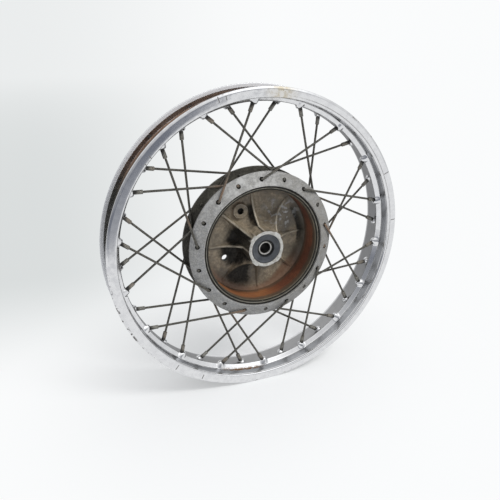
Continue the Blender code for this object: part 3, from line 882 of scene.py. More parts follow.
# %% Drill the rim
NIPPLE_HOLE_RADIUS = 3.4
NIPPLE_HOLE_SIDES = 16
NIPPLE_DRILL_REACH = 9.0
VALVE_HOLE_RADIUS = 4.2
VALVE_HOLE_SIDES = 24
VALVE_DRILL = (212.0, 229.0)
VALVE_CLOCK = LACING_PHASE + SPOKE_PITCH * 1.5


def rim_drills():
    """Drills for the nipples and the valve."""
    drills = []
    for line in lines.values():
        run = line["run"]
        ends = [line["rim_point"] + run * reach for reach in (-NIPPLE_DRILL_REACH, NIPPLE_DRILL_REACH)]
        drills.append(tube([(end, run, NIPPLE_HOLE_RADIUS, 0) for end in ends], NIPPLE_HOLE_SIDES))
    up = on_wheel(1.0, VALVE_CLOCK, 0.0)
    ends = [on_wheel(radius, VALVE_CLOCK, RIM_OFFSET) for radius in VALVE_DRILL]
    drills.append(tube([(end, up, VALVE_HOLE_RADIUS, 0) for end in ends], VALVE_HOLE_SIDES))
    return drills


cut(rim, rim_drills(), tyre_bed, RIM_CREASE)
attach(rim, "wheel")
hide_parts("rim")
print("rim faces after drilling:", len(rim.data.polygons))

# %% [markdown]
# ## Finishes of the spokes
#
# A spoke is drawn wire with a head pressed on one end and a bend just below it. It hooks into the hub flange,
# and at the rim a long nut, the nipple, pulls it tight. Zinc plating keeps such wire grey for years, but near
# the hub, where mud sits, it turns brown. The distance from the axle decides where the mud lies, so all
# thirty-six spokes share one finish.

# %% Spoke finishes
def spoke_finish():
    """Dull zinc that turns brown near the hub."""
    material, shader, place = new_finish("spoke_zinc")
    cloud = noise(place, 60.0, 4.0)
    fleck = noise(place, 420.0, 3.0).rise(0.42, 0.66)
    zinc = fleck.between((0.095, 0.090, 0.078), (0.175, 0.168, 0.148))
    some = noise(place, 14.0, 2.0).rise(0.48, 0.60)
    mud = radius_of(place).fall(0.112, 0.150) * cloud.rise(0.25, 0.65) * some
    wear(shader, Base_Color=mud.between(zinc, (0.17, 0.115, 0.078)), Metallic=mud.rise(0.0, 1.0, 0.75, 0.15),
         Roughness=cloud.rise(0.2, 0.8, 0.36, 0.58))
    roughen(shader, fleck, 0.0002, 0.4)
    return material


def nipple_finish():
    """Darker plated steel with brown dirt, darkest against the rim."""
    material, shader, place = new_finish("nipple_steel")
    cloud = noise(place, 25.0, 4.0).rise(0.40, 0.66)
    fleck = noise(place, 500.0, 3.0).rise(0.40, 0.66)
    steel = fleck.between((0.19, 0.185, 0.165), (0.31, 0.305, 0.28))
    brown = (cloud * 0.6).between(steel, (0.19, 0.14, 0.095))
    colour = radius_of(place).rise(0.2110, 0.2160).between(brown, (0.045, 0.043, 0.040))
    wear(shader, Base_Color=colour, Roughness=fleck.rise(0.0, 1.0, 0.42, 0.6),
         Metallic=cloud.rise(0.0, 1.0, 0.7, 0.3))
    roughen(shader, fleck, 0.0002, 0.4)
    return material


spoke_zinc = spoke_finish()
nipple_steel = nipple_finish()
print("finishes:", spoke_zinc.name, nipple_steel.name)

# %% [markdown]
# ## Spokes and nipples
#
# The nipple is square where the key grips it and round where it turns in the rim. A bevelled curve could make
# the wire, but its thickness changes from head to nipple and the nipple is partly square. So each spoke is a
# row of rings along its path, each with its own place, direction and size: the head, the neck in the flange,
# a bend drawn with a quadratic curve, the straight run and the nipple.

# %% Model the spokes
SPOKE_SIDES = 12
SPOKE_BEND = 2.3
BEND_STEPS = 7
SPOKE_CREASE = 45.0
# Height above the seat and radius of the rings of a spoke's head.
SPOKE_HEAD = [(1.9, 0.7), (1.75, 1.6), (1.35, 2.3), (0.75, 2.75), (0.1, 2.95), (0.0, 2.8)]
NIPPLE_SIDES = 16
NIPPLE_REACH = 15.8
NIPPLE_RADIUS = 3.15
NIPPLE_FLAT = 2.75
NIPPLE_CORNER = 3.3
NIPPLE_HEAD_RADIUS = 4.4
WIRE_IN_NIPPLE = 3.0


def spoke_wire(line):
    """Wire from its head, through the flange, round the bend and into the nipple."""
    out, run, seat, bend = line["out"], line["run"], line["seat"], line["bend"]
    stations = [(seat - out * height, out, radius, 0) for height, radius in SPOKE_HEAD]
    stations.append((seat, out, SPOKE_RADIUS, 0))
    start, end = bend - out * SPOKE_BEND, bend + run * SPOKE_BEND
    for k in range(BEND_STEPS + 1):
        t = k / BEND_STEPS
        place = start * (1 - t) ** 2 + bend * 2 * t * (1 - t) + end * t ** 2
        stations.append((place, out * (1 - t) + run * t, SPOKE_RADIUS, 0))
    stations.append((line["rim_point"] - run * (NIPPLE_REACH - WIRE_IN_NIPPLE), run, SPOKE_RADIUS, 0))
    return tube(stations, SPOKE_SIDES)


def nipple(line):
    """Long nut on the spoke's end, square towards the hub and with its head in the rim."""
    run, rim_point = line["run"], line["rim_point"]
    lean = run.dot(on_wheel(1.0, line["rim_clock"], 0.0))
    head = (PLATE + GAP + NIPPLE_HEAD_RADIUS * math.sqrt(1 - lean ** 2)) / lean
    profile = [
        (-NIPPLE_REACH, 1.7, 0), (-NIPPLE_REACH, 2.7, 2.5),
        (-NIPPLE_REACH + 0.5, NIPPLE_CORNER, NIPPLE_FLAT), (-8.4, NIPPLE_CORNER, NIPPLE_FLAT),
        (-7.6, NIPPLE_RADIUS, 0), (head, NIPPLE_RADIUS, 0),
        (head + 0.4, NIPPLE_HEAD_RADIUS - 0.3, 0), (head + 1.3, NIPPLE_HEAD_RADIUS, 0),
        (head + 1.8, NIPPLE_HEAD_RADIUS - 0.6, 0), (head + 1.8, 1.4, 0),
    ]
    rings = [(rim_point + run * along, run, radius, flat) for along, radius, flat in profile]
    return tube(rings, NIPPLE_SIDES)


spoke_finishes = [spoke_zinc, nipple_steel]
for number, line in lines.items():
    points, faces, parts = join_parts([spoke_wire(line), nipple(line)])
    spoke = add_piece(f"spoke_wire_{number:02d}", points, faces, spoke_finishes, parts, SPOKE_CREASE)
    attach(spoke, "wheel")
    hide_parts(f"spoke_{number:02d}")
print("spokes modelled:", len(lines), "faces each:", len(faces))

# %% [markdown]
# ## Turned alloy of the hub
#
# The hub is sand-cast in light alloy and then turned where it has to be true: the two flange cones, the
# drum's lip and the face of the bearing boss. Turned alloy keeps fine marks round the axle and goes pale grey
# with oxide. The Anisotropic input of the shader could suggest the marks, but stretched noise, fine across
# the radius and long round the axle, also makes some streaks duller or deeper than others.

# %% Turned finishes
def tool_marks(place, radius, across, around):
    """Fine streaks round the axle."""
    x, _, z = axes(with_vector('MULTIPLY', place, (around, across, around), "Vector"))
    ring = add_node(place.tree, "ShaderNodeCombineXYZ", {0: radius * across, 1: x, 2: z})
    return noise(Pattern(ring.outputs[0]), 1.0, 3.0)


def turned_alloy_finish():
    """Grey oxidised alloy with fine marks of the lathe, a painted highlight near the top and painted shade on
    the right.
    """
    material, shader, place = new_finish("turned_alloy")
    cloud = noise(place, 80.0, 6.0, 0.7).rise(0.36, 0.64)
    fleck = noise(place, 420.0, 4.0).rise(0.36, 0.68)
    marks = tool_marks(place, radius_of(place), 900.0, 40.0)
    grey = fleck.between((0.255, 0.257, 0.265), (0.420, 0.416, 0.402))
    # Painted light: the flange is paler near its top.
    painted_top_light = near(place, (-0.030, -0.026, 0.100), 0.105) * cloud.rise(0.0, 0.8, 0.9, 0.2)
    pale = painted_top_light.between(grey, (0.50, 0.498, 0.487))
    # Stains, and painted shade that darkens the right side of the flange.
    stains_and_right_shade = cloud * 0.5 + axes(place)[0].rise(0.00, 0.07, 0.0, 0.34)
    colour = stains_and_right_shade.between(pale, (0.185, 0.178, 0.160))
    wear(shader, Base_Color=colour, Metallic=cloud.rise(0.0, 1.0, 0.28, 0.15),
         Roughness=marks.rise(0.3, 0.7, 0.52, 0.68))
    roughen(shader, marks + fleck * 0.5, 0.0002, 0.3)
    return material


def bright_face_finish():
    """Freshly faced alloy of the bearing boss."""
    material, shader, place = new_finish("faced_alloy")
    fleck = noise(place, 240.0, 4.0).rise(0.40, 0.70)
    marks = tool_marks(place, radius_of(place), 1400.0, 60.0)
    wear(shader, Base_Color=fleck.between((0.48, 0.476, 0.455), (0.31, 0.302, 0.278)),
         Roughness=marks.rise(0.3, 0.7, 0.42, 0.6))
    shader.inputs["Metallic"].default_value = 0.25
    roughen(shader, marks, 0.0002, 0.3)
    return material


def ring_metal_finish(name, light, dark, roughness):
    """Turned ring with streaks and stains."""
    material, shader, place = new_finish(name)
    marks = tool_marks(place, radius_of(place), 1200.0, 30.0)
    cloud = noise(place, 120.0, 5.0).rise(0.35, 0.68)
    wear(shader, Base_Color=cloud.between(light, dark), Metallic=cloud.rise(0.0, 1.0, 0.9, 0.5),
         Roughness=marks.rise(0.3, 0.7, roughness - 0.08, roughness + 0.1))
    roughen(shader, marks, 0.0002, 0.3)
    return material


turned_alloy = turned_alloy_finish()
faced_alloy = bright_face_finish()
# Near-black finish for grooves and the walls of holes: painted shade where little light reaches.
groove_shade = ring_metal_finish("groove_shade", (0.040, 0.038, 0.033), (0.016, 0.015, 0.013), 0.55)
print("finishes:", turned_alloy.name, faced_alloy.name, groove_shade.name)

# %% [markdown]
# ## Rough casting
#
# Between the flanges and on the far side the casting was left as it came from the sand, and years of road
# dirt have made it nearly black. Edges are the first to be rubbed clean. Pointiness tells edges from hollows,
# so the pale wear needs no painting.

# %% Casting finish
def edges_of(place):
    """High along sharp edges, low in hollows."""
    return Pattern(add_node(place.tree, "ShaderNodeNewGeometry").outputs["Pointiness"])


def dark_casting_finish():
    """Rough casting under road dirt, with paler worn edges."""
    material, shader, place = new_finish("dark_casting")
    cloud = noise(place, 26.0, 6.0, 0.62).rise(0.36, 0.66)
    fleck = noise(place, 300.0, 4.0).rise(0.38, 0.68)
    worn = edges_of(place).rise(0.53, 0.60)
    dust = fleck.between((0.064, 0.061, 0.051), (0.116, 0.110, 0.092))
    dirty = cloud.between(dust, (0.045, 0.043, 0.037))
    wear(shader, Base_Color=(worn * 0.6).between(dirty, (0.36, 0.345, 0.30)),
         Roughness=cloud.rise(0.0, 1.0, 0.62, 0.38), Metallic=worn.rise(0.0, 1.0, 0.15, 0.5))
    roughen(shader, noise(place, 1100.0, 3.0) + fleck, 0.0006, 0.5)
    return material


dark_casting = dark_casting_finish()
print("finish:", dark_casting.name)

# %% [markdown]
# ## Hub casting
#
# The body of the hub is one turned outline: the drum's lip, the cone of the near flange, the barrel, the far
# flange, and the recess and boss of the far side. Modelling it from cylinders and Booleans would work too,
# but one outline keeps every rounding in one list. The place on the outline decides which finish a face gets.

# %% Turn the hub
LINER_BORE = 95.5
BARREL_RADIUS = 102.5
LIP_FLOOR_Y = -26.6
WEB_BACK_Y = 21.5
JOINT_Y = 16.5
BOSS_RADIUS = 28.8
BOSS_BORE = 23.8
BOSS_FACE_Y = 35.6
SHOULDER_BORE = 18.5
SHOULDER_Y = 14.0
HUB_STEPS = 288
HUB_SPACING = 6.0
HUB_CORNER_STEPS = 4


def hub_outline():
    """Section of the hub behind the drum's web."""
    corners = [
        (-HUB_FACE_Y + 0.4, DRUM_LIP_RADIUS + 0.2, 0.5),
        (-HUB_FACE_Y + 0.35, DRUM_LIP_RADIUS + 1.6, 0.5),
        (-FLANGE_EDGE_Y, HUB_FLANGE_RADIUS, 0.9),
        (-FLANGE_BACK_Y, HUB_FLANGE_RADIUS, 0.8),
        (-FLANGE_BACK_Y, BARREL_RADIUS, 4.0),
        (FLANGE_BACK_Y, BARREL_RADIUS, 4.0),
        (FLANGE_BACK_Y, HUB_FLANGE_RADIUS, 0.8),
        (FLANGE_EDGE_Y, HUB_FLANGE_RADIUS, 0.9),
        (HUB_FACE_Y, DRUM_LIP_RADIUS, 1.0),
        (HUB_FACE_Y, DRUM_LIP_RADIUS - 8.0, 1.2),
        (WEB_BACK_Y, DRUM_LIP_RADIUS - 10.0, 3.0),
        (WEB_BACK_Y, BOSS_RADIUS + 1.5, 4.0),
        (BOSS_FACE_Y, BOSS_RADIUS, 0.7),
        (BOSS_FACE_Y, BOSS_BORE, 0.5),
        (SHOULDER_Y + 3.0, BOSS_BORE, 0.0),
        (JOINT_Y, SHOULDER_BORE, 0.0),
        (JOINT_Y, LINER_BORE, 0.0),
        (LIP_FLOOR_Y, LINER_BORE, 0.4),
        (LIP_FLOOR_Y, DRUM_LIP_RADIUS, 0.5),
    ]
    return fine(rounded(corners, HUB_CORNER_STEPS), lambda point: HUB_SPACING)


def hub_zone(y, radius):
    """0 turned alloy, 1 dark casting, 2 groove in painted shade."""
    zone = np.ones(len(y), np.int32)
    zone[(np.abs(y) > FLANGE_BACK_Y + 0.7) & (radius > DRUM_LIP_RADIUS - 1.0)] = 0
    zone[(y > HUB_FACE_Y - 0.5)] = 0
    # Zone 2 is the groove at the drum's lip, given painted shade.
    zone[(y < LIP_FLOOR_Y + 3.0) & (radius < DRUM_LIP_RADIUS + 0.1)] = 2
    return zone


hub = turn("hub_casting", hub_outline(), HUB_STEPS, [turned_alloy, dark_casting, groove_shade], hub_zone)
print("hub faces:", len(hub.data.polygons))

# %% [markdown]
# ## Holes of the hub
#
# A spoke that leaves on the outside comes through a countersunk hole, and a spoke that leaves on the inside
# has its head sunk in a round seat. The web has two holes more, a blind one in a pad and a plain one. All of
# them are cut at once, as on the rim.

# %% Drill the hub
SPOKE_HOLE_RADIUS = 2.1
SPOKE_HOLE_SIDES = 20
COUNTERSINK_DEPTH = 2.6
COUNTERSINK_RADIUS = 3.6
PAST_BACK = 2.0
PAST_FACE = 4.0
HEAD_SEAT_RADIUS = 3.35
WEB_FACE_Y = 14.0
WEB_HOLE_CIRCLE = 57.0
WEB_HOLE_RADIUS = 5.2
WEB_HOLE_SIDES = 32
WEB_DRILL_FRONT = 12.0
BLIND_DEPTH = 1.5
PAD_CLOCK = math.radians(-26.5)
WEB_HOLE_CLOCK = math.radians(-116.5)


def hub_drills():
    """Drills for the spoke holes, with their countersinks and head seats."""
    start, face = FLANGE_BACK_Y - PAST_BACK, cone_y(SPOKE_CIRCLE)
    countersunk = [(start, SPOKE_HOLE_RADIUS), (face - COUNTERSINK_DEPTH, SPOKE_HOLE_RADIUS),
                   (face - 0.4, COUNTERSINK_RADIUS), (face + PAST_FACE, COUNTERSINK_RADIUS + 0.1)]
    seated = [(start, SPOKE_HOLE_RADIUS), (face - SEAT_DEPTH, SPOKE_HOLE_RADIUS),
              (face - SEAT_DEPTH, HEAD_SEAT_RADIUS), (face + PAST_FACE, HEAD_SEAT_RADIUS)]
    drills = []
    for line in lines.values():
        out = Vector((0, line["side"], 0))
        centre = on_wheel(SPOKE_CIRCLE, line["clock"], 0.0)
        profile = countersunk if line["outside"] else seated
        drills.append(tube([(centre + out * y, out, radius, 0) for y, radius in profile], SPOKE_HOLE_SIDES))
    return drills


def web_drills():
    """Drills for the two holes of the web: a blind one in the pad and a plain one."""
    drills = []
    axle = Vector((0, 1, 0))
    for clock, end in ((PAD_CLOCK, WEB_FACE_Y + BLIND_DEPTH), (WEB_HOLE_CLOCK, WEB_BACK_Y + PAST_FACE)):
        centre = on_wheel(WEB_HOLE_CIRCLE, clock, 0.0)
        drills.append(tube([(centre + axle * y, axle, WEB_HOLE_RADIUS, 0)
                            for y in (WEB_FACE_Y - WEB_DRILL_FRONT, end)], WEB_HOLE_SIDES))
    return drills


# The walls of the holes get the near-black painted shade.
cut(hub, hub_drills() + web_drills(), groove_shade)
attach(hub, "wheel")
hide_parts("hub_shell")
print("hub faces after drilling:", len(hub.data.polygons))

# %% [markdown]
# ## Dust, grease and painted shade in the drum
#
# The rough casting inside the drum holds tan brake dust, and the pockets between some of the ribs are black
# with grease and painted shade. Such stains could be painted on an unwrapped image. Here they are written as
# ranges of clock angle and radius, with noise added to their ends, so they fit the ribs and stay sharp at any
# size.

# %% Web finish
RIB_CLOCK = math.radians(-49.0)
RIB_COUNT = 8
POCKET_START_WIDTH = 0.16
# Start and end clock in degrees, inner and outer radius in millimetres, and softness of the end.
GREASE_AND_SHADE_POCKETS = [
    (-97.0, -50.0, 26.0, 51.0, 0.01), (-138.5, -95.0, 26.0, 64.0, 0.01), (-17.0, -5.0, 26.0, 66.0, 0.01),
    (-176.0, -138.5, 32.0, 82.0, 0.03), (52.0, 102.0, 74.0, 92.0, 0.25),
]


def pocket_grease_and_shade(place, radius):
    """1 in the pockets of the web that are black with grease and painted shade."""
    clock = clock_of(place)
    wobble = noise(place, 55.0, 5.0) - 0.5
    start = clock + wobble * 0.5
    reach = radius + wobble * 0.024
    pockets = []
    for first, last, low, high, soft in GREASE_AND_SHADE_POCKETS:
        first, last, low, high = math.radians(first), math.radians(last), low * MM, high * MM
        sector = start.rise(first, first + POCKET_START_WIDTH) * clock.fall(last - soft, last + soft)
        pockets.append(sector * radius.rise(low, low + 0.004) * reach.fall(high - 0.010, high + 0.004))
    return highest(*pockets)


def rib_crests(place, radius):
    """1 along the tops of the ribs."""
    clock = clock_of(place) - RIB_CLOCK
    beside = clock.reckon('PINGPONG', math.pi / RIB_COUNT) * radius
    return beside.fall(0.0009, 0.0021) * radius.fall(0.070, 0.082)


def web_finish():
    """Inside of the drum: tan brake dust, black grease with painted shade in the pockets, and bare metal with
    a painted sheen at the top right.
    """
    material, shader, place = new_finish("dusty_web")
    z = axes(place)[2]
    radius = radius_of(place)
    cloud = noise(place, 30.0, 6.0, 0.62).rise(0.36, 0.66)
    fleck = noise(place, 260.0, 4.0).rise(0.36, 0.68)

    # Tan dust, black grease with painted shade in the pockets, and painted shade in the corner at the drum
    # wall.
    tan = fleck.between((0.205, 0.168, 0.118), (0.320, 0.268, 0.196))
    dusty = (cloud * 0.75).between(tan, (0.082, 0.073, 0.058))
    # Grease and painted shade: the pockets beside the ribs are near black.
    grease_and_shade = pocket_grease_and_shade(place, radius)
    soot_and_shade = fleck.between((0.017, 0.016, 0.0135), (0.040, 0.037, 0.032))
    black = grease_and_shade.between(dusty, soot_and_shade)
    # Painted shade in the corner where the web meets the drum wall, reddish brown towards the bottom.
    corner_shade_radius = radius + near(place, (0.058, 0.010, -0.052), 0.055) * 0.013
    corner_shade_colour = z.rise(-0.062, -0.020).between((0.140, 0.068, 0.038), (0.060, 0.052, 0.040))
    with_corner_shade = corner_shade_radius.rise(0.078, 0.088, 0.0, 0.75).between(black, corner_shade_colour)

    # Bare metal with a painted sheen at the upper right, then painted light and shadow on the rib crests, and
    # worn edges that painted light makes paler higher up.
    # Painted highlights: pale blue-grey patches at the upper right, on metal that is bare there.
    upper_right_spot = near(place, (0.044, 0.006, 0.038), 0.042)
    greyed_upper_right = (upper_right_spot * 0.6).between(with_corner_shade, (0.085, 0.083, 0.076))
    bare_and_sheen = upper_right_spot * noise(place, 120.0, 4.0).rise(0.52, 0.62)
    with_sheen = bare_and_sheen.between(greyed_upper_right, (0.52, 0.53, 0.54))
    # Painted highlight along the crests of the upper ribs, painted shadow line along the lower ones.
    crest = z.rise(-0.030, -0.012).between((0.022, 0.020, 0.016), (0.50, 0.455, 0.37))
    with_crest_light = (rib_crests(place, radius) * cloud.rise(0.0, 1.0, 0.55, 0.2)).between(with_sheen, crest)
    # Worn edges, with painted light that makes them paler higher up.
    worn = edges_of(place).rise(0.525, 0.57) * radius.fall(0.080, 0.086)
    colour = (worn * z.rise(-0.030, -0.012, 0.3, 0.85)).between(with_crest_light, (0.50, 0.46, 0.39))
    wear(shader, Base_Color=colour, Roughness=cloud.rise(0.0, 1.0, 0.55, 0.36),
         Specular_IOR_Level=grease_and_shade.rise(0.0, 1.0, 0.45, 0.10), Metallic=highest(worn * 0.5, bare_and_sheen * 0.7))
    roughen(shader, noise(place, 1100.0, 3.0) + fleck, 0.0005, 0.45)
    return material


dusty_web = web_finish()
print("finish:", dusty_web.name, "with", len(dusty_web.node_tree.nodes), "nodes")

# %% [markdown]
# ## Ribs of the web
#
# Eight ribs stiffen the drum's web. Four tall ones reach up to the face of the bearing boss and end there in
# a nub, and four low ones lie between them. Each falls away to the drum wall in a smooth curve. The web is
# turned like the rest, but its points are lifted wherever a rib or the pad stands. The clock angles of the
# points are packed beside each rib at fixed distances from it, so the ribs get straight clean sides.

# %% Shape the ribs
RIB_HALF_WIDTH = 1.6
RIB_DRAFT = 5.0
RIB_CROWN = 0.35
RIB_FOOT = 1.5
RIB_END = 89.7
TALL_RIB = WEB_FACE_Y + BOSS_FACE_Y - 0.2
LOW_RIB = 26.0
NO_RIB = -50.0
FILLET_AT_FOOT = 1.5
FILLET_GROWTH = 0.4
FILLET_LIMIT = 8.0
NUB_REACH = 1.7
NUB_HALF_WIDTH = 5.5
NUB_CHEEK = 1.5
NUB_DRAFT = 14.0
NUB_FILLET = 1.0
PAD_RADIUS = 13.0
PAD_EDGE = 1.0
PAD_HEIGHT = 5.0
PAD_DRAFT = 3.5
PAD_FILLET = 1.6
RIB_OFFSETS = [0.0, 0.6, 1.1, 1.45, 1.7, 2.0, 2.5, 3.1, 3.8, 4.6, 5.5, 6.5, 7.7, 9.0]
OFFSET_LIMIT = 0.36
BETWEEN_STEPS = 34


def web_clocks(radii):
    """Clock angles for each row of the web, gathered beside the ribs."""
    columns = []
    step = 2 * math.pi / RIB_COUNT
    for rib in range(RIB_COUNT):
        middle = RIB_CLOCK + step * rib
        beside = [np.arcsin(np.minimum(offset / radii, OFFSET_LIMIT)) for offset in RIB_OFFSETS]
        columns += [middle - offset for offset in reversed(beside[1:])]
        columns += [middle + offset for offset in beside]
        first, last = middle + beside[-1], middle + step - beside[-1]
        columns += [first + (last - first) * k / BETWEEN_STEPS for k in range(1, BETWEEN_STEPS)]
    return np.array(columns)


def raise_ribs(y, radius, clock):
    """Lift the web where the ribs, their nubs and the pad stand."""
    front = (y < WEB_FACE_Y + 0.01) & (radius > BOSS_RADIUS - 1.0) & (radius < RIB_END + 0.05)
    lifted = WEB_FACE_Y - y
    for rib in range(RIB_COUNT):
        tall = rib % 2 == 0
        angle = clock - RIB_CLOCK - 2 * math.pi / RIB_COUNT * rib
        along, across = radius * np.cos(angle), np.abs(radius * np.sin(angle))
        share = np.clip((along - BOSS_RADIUS) / (RIB_END - BOSS_RADIUS), 0.0, 1.0)
        crest = RIB_FOOT + ((TALL_RIB if tall else LOW_RIB) - RIB_FOOT) * (1 - share) ** 3
        side = np.maximum(across - RIB_HALF_WIDTH, 0.0)
        crown = np.minimum(across / RIB_HALF_WIDTH, 1.0) ** 4 * RIB_CROWN
        ridge = np.where(along > 0, crest - crown - side * RIB_DRAFT, NO_RIB)
        fillet = np.minimum(FILLET_LIMIT, FILLET_AT_FOOT + np.maximum(crest, 0.0) * FILLET_GROWTH)
        lifted = smooth_max(lifted, ridge, fillet)
        if tall:
            cheek = np.maximum(across - NUB_HALF_WIDTH, 0.0) * NUB_CHEEK
            past = np.maximum(along - BOSS_RADIUS - NUB_REACH + cheek, 0.0)
            nub = np.where(along > 0, TALL_RIB - past * NUB_DRAFT, NO_RIB)
            lifted = smooth_max(lifted, nub, NUB_FILLET)
    pad = on_wheel(WEB_HOLE_CIRCLE, PAD_CLOCK, 0.0)
    away = np.hypot(radius * np.sin(clock) - pad.x, radius * np.cos(clock) - pad.z)
    pad_side = np.maximum(away - PAD_RADIUS + PAD_EDGE, 0.0)
    lifted = smooth_max(lifted, PAD_HEIGHT - pad_side * PAD_DRAFT, PAD_FILLET)
    lifted = np.minimum(lifted, WEB_FACE_Y + BOSS_FACE_Y)
    return np.where(front, WEB_FACE_Y - lifted, y), radius


print("ribs:", RIB_COUNT, "tall ones rise", round(TALL_RIB, 1), "mm above the web")

# %% [markdown]
# ## The web itself
#
# The web closes the drum and carries the near bearing in its boss. It could be part of the hub's outline, but
# it needs many more points than the rest, so it is a piece of its own. The face of the boss is turned bright,
# and faces that lie there get the second finish.

# %% Model the web
WEB_SPACING = 1.5
WEB_CREASE = 50.0
FACED_DEPTH = 0.5


def web_outline():
    """Section of the web and the front boss before its ribs are raised."""
    corners = [
        (-BOSS_FACE_Y, BOSS_BORE, 0.5),
        (-BOSS_FACE_Y, BOSS_RADIUS, 0.6),
        (WEB_FACE_Y, BOSS_RADIUS + 1.2, 14.0),
        (WEB_FACE_Y, 84.0, 9.0),
        (WEB_FACE_Y - 2.6, RIB_END, 0.0),
        (WEB_FACE_Y + 0.2, RIB_END, 0.0),
        (WEB_FACE_Y + 0.2, LINER_BORE - 0.3, 0.0),
        (JOINT_Y, LINER_BORE - 0.3, 0.0),
        (JOINT_Y, SHOULDER_BORE, 0.0),
        (-SHOULDER_Y, SHOULDER_BORE, 0.0),
        (-SHOULDER_Y, BOSS_BORE, 0.0),
    ]
    return fine(rounded(corners), lambda point: WEB_SPACING)


def model_web():
    """Web with its ribs, pad and boss; the boss face is turned bright."""
    outline = outward(web_outline())
    points, faces = lathe_grid(outline, web_clocks(outline[:, 1]), raise_ribs)
    faced = points[faces][:, :, 1].max(axis=1) < -BOSS_FACE_Y + FACED_DEPTH
    return add_piece("hub_web", points, faces.tolist(), [dusty_web, faced_alloy], faced, WEB_CREASE)


web = model_web()
# The walls of the web's holes get the near-black painted shade.
cut(web, web_drills(), groove_shade, WEB_CREASE)
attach(web, "wheel")
print("web faces:", len(web.data.polygons))

# %% [markdown]
# ## Friction ring
#
# The iron ring that the brake shoes rub on is shrunk into the drum. Its front face is stepped: a bright rim,
# a groove painted dark as shade and a worn inner edge. The band inside is brown with rust; painted light
# makes it brightest at the bottom and painted shade darkens it next to the web. Three separate rings could
# make the steps, but one turned outline leaves no gaps, and its stretches can have four finishes.

# %% Model the friction ring
LINER_FACE_Y = -24.0
BRIGHT_RIM = 93.7
WORN_EDGE = 91.4
LINER_SPACING = 3.0
LINER_CORNER_STEPS = 3
LINER_CORNERS = [
    (-27.2, 95.2, 0.4), (13.7, 95.2, 0.0), (13.7, 90.0, 0.0), (-24.4, 90.0, 0.6),
    (-25.6, 91.3, 0.4), (-25.2, 91.8, 0.3), (-25.2, 93.6, 0.3), (-27.2, 94.1, 0.4),
]


def rusty_iron_finish():
    """Friction ring: red-brown rust, with painted light that makes it brightest at the bottom."""
    material, shader, place = new_finish("rusty_iron")
    x, y, z = axes(place)
    cloud = noise(place, 34.0, 6.0, 0.6).rise(0.34, 0.66)
    fleck = noise(place, 380.0, 4.0).rise(0.40, 0.66)
    marks = tool_marks(place, radius_of(place) + y, 500.0, 25.0)
    rust = cloud.between((0.120, 0.042, 0.024), (0.185, 0.066, 0.032))
    spotted = (fleck * 0.5).between(rust, (0.085, 0.036, 0.024))
    # Painted light: the bottom of the band, which faces the light, is brighter orange.
    low = (z + x * 0.4).fall(-0.090, -0.066) * cloud.rise(0.0, 1.0, 0.95, 0.6)
    with_lit_bottom = low.between(spotted, (0.28, 0.115, 0.046))
    # The unworn front strip is darker; at the back, painted shade darkens the band next to the web.
    front = (y + cloud * 0.003).fall(-0.018, -0.011)
    back = (y + cloud * 0.004).rise(0.001, 0.012)
    colour = highest(front * 0.85, back * 0.8).between(with_lit_bottom, (0.075, 0.060, 0.042))
    wear(shader, Base_Color=colour, Roughness=marks.rise(0.3, 0.7, 0.55, 0.8))
    roughen(shader, fleck + marks, 0.0004, 0.4)
    return material


def liner_zone(y, radius):
    """0 friction band, 1 bright rim, 2 groove in painted shade, 3 worn edge."""
    step = np.where(radius > BRIGHT_RIM, 1, np.where(radius > WORN_EDGE, 2, 3))
    return np.where(y < LINER_FACE_Y, step, 0)


rusty_iron = rusty_iron_finish()
lip_metal = ring_metal_finish("lip_metal", (0.33, 0.315, 0.27), (0.15, 0.143, 0.12), 0.40)
edge_iron = ring_metal_finish("edge_iron", (0.17, 0.145, 0.105), (0.075, 0.064, 0.048), 0.5)
liner_outline = fine(rounded(LINER_CORNERS, LINER_CORNER_STEPS), lambda point: LINER_SPACING)
liner_finishes = [rusty_iron, lip_metal, groove_shade, edge_iron]
liner = turn("drum_ring", liner_outline, HUB_STEPS, liner_finishes, liner_zone)
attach(liner, "wheel")
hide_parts("brake_drum_liner")
print("friction ring faces:", len(liner.data.polygons))

# %% [markdown]
# ## Seals and collars
#
# Inside each boss a rubber seal keeps grease in the bearing, and a steel collar runs in the seal's lip. Both
# are small turned rings, alike on the two sides, so a loop makes them and turns the outlines' y about. The
# collars stay with the axle while the seals turn with the wheel.

# %% Model the seals and collars
SEAL_STEPS = 128
COLLAR_STEPS = 96
SMALL_CORNER_STEPS = 4
SEAL_CORNERS = [
    (28.6, 23.5, 0.3), (35.3, 23.5, 0.6), (35.3, 21.2, 0.7), (34.6, 20.3, 0.6),
    (33.8, 13.9, 0.6), (29.4, 13.5, 0.3), (29.4, 11.25, 0.2), (28.6, 11.25, 0.2),
]
COLLAR_CORNERS = [(28.6, 10.9, 0.3), (31.0, 10.9, 0.5), (31.0, 8.7, 0.5), (28.6, 8.7, 0.3)]


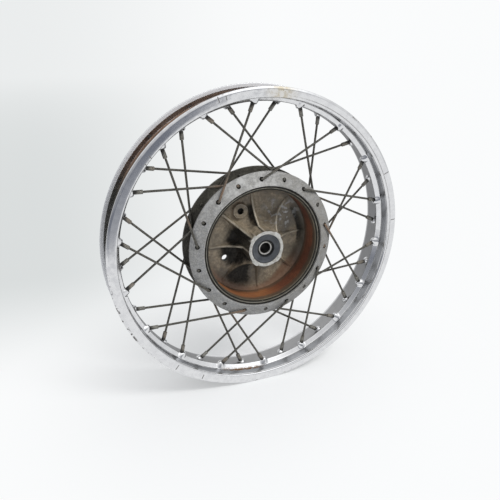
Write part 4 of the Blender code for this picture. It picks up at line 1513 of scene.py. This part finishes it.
def rubber_finish():
    """Old grey-blue rubber with dust, and painted shade that makes it black at its lip, in the recess round
    the collar.
    """
    material, shader, place = new_finish("seal_rubber")
    fleck = noise(place, 700.0, 3.0)
    cloud = noise(place, 90.0, 5.0).rise(0.35, 0.68)
    rubber = cloud.between((0.030, 0.034, 0.040), (0.054, 0.058, 0.066))
    # Painted shade: the lip round the collar sits in a recess and is painted black.
    colour = radius_of(place).rise(0.0132, 0.0150).between((0.010, 0.010, 0.010), rubber)
    wear(shader, Base_Color=colour, Roughness=fleck.rise(0.3, 0.7, 0.40, 0.58))
    roughen(shader, fleck, 0.0003, 0.3)
    return material


def turn_ring(name, corners, sign, steps, material):
    """Small turned ring on one side of the wheel."""
    outline = rounded([(sign * y, radius, rounding) for y, radius, rounding in corners], SMALL_CORNER_STEPS)
    return turn(name, outline, steps, [material])


seal_rubber = rubber_finish()
collar_steel = ring_metal_finish("collar_steel", (0.55, 0.54, 0.52), (0.30, 0.29, 0.27), 0.34)
for side, sign in (("brake", -1), ("sprocket", 1)):
    seal = turn_ring(f"seal_{side}", SEAL_CORNERS, sign, SEAL_STEPS, seal_rubber)
    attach(seal, "wheel")
    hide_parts(f"oil_seal_{side}")
    collar = turn_ring(f"collar_{side}", COLLAR_CORNERS, sign, COLLAR_STEPS, collar_steel)
    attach(collar, "axle_set")
    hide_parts(f"axle_collar_{side}")
print("faces of a seal and a collar:", len(seal.data.polygons), len(collar.data.polygons))

# %% [markdown]
# ## Bearings
#
# The bearings and the tube between them lie deep in the hub, behind the seals. Their packed solids already
# have the right shape, so they only get a finish of dark greasy steel.

# %% Dress the bearings
greasy_steel = ring_metal_finish("greasy_steel", (0.055, 0.052, 0.045), (0.022, 0.021, 0.018), 0.45)
inner_pieces = [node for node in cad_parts.values()
                if node.name.startswith("bearing_") or node.name == "distance_tube"]
for node in inner_pieces:
    for material_slot in node.material_slots:
        material_slot.material = greasy_steel
print("packed pieces with a new finish:", len(inner_pieces))

# %% [markdown] The dressed wheel has to fill the same box as the packed model.
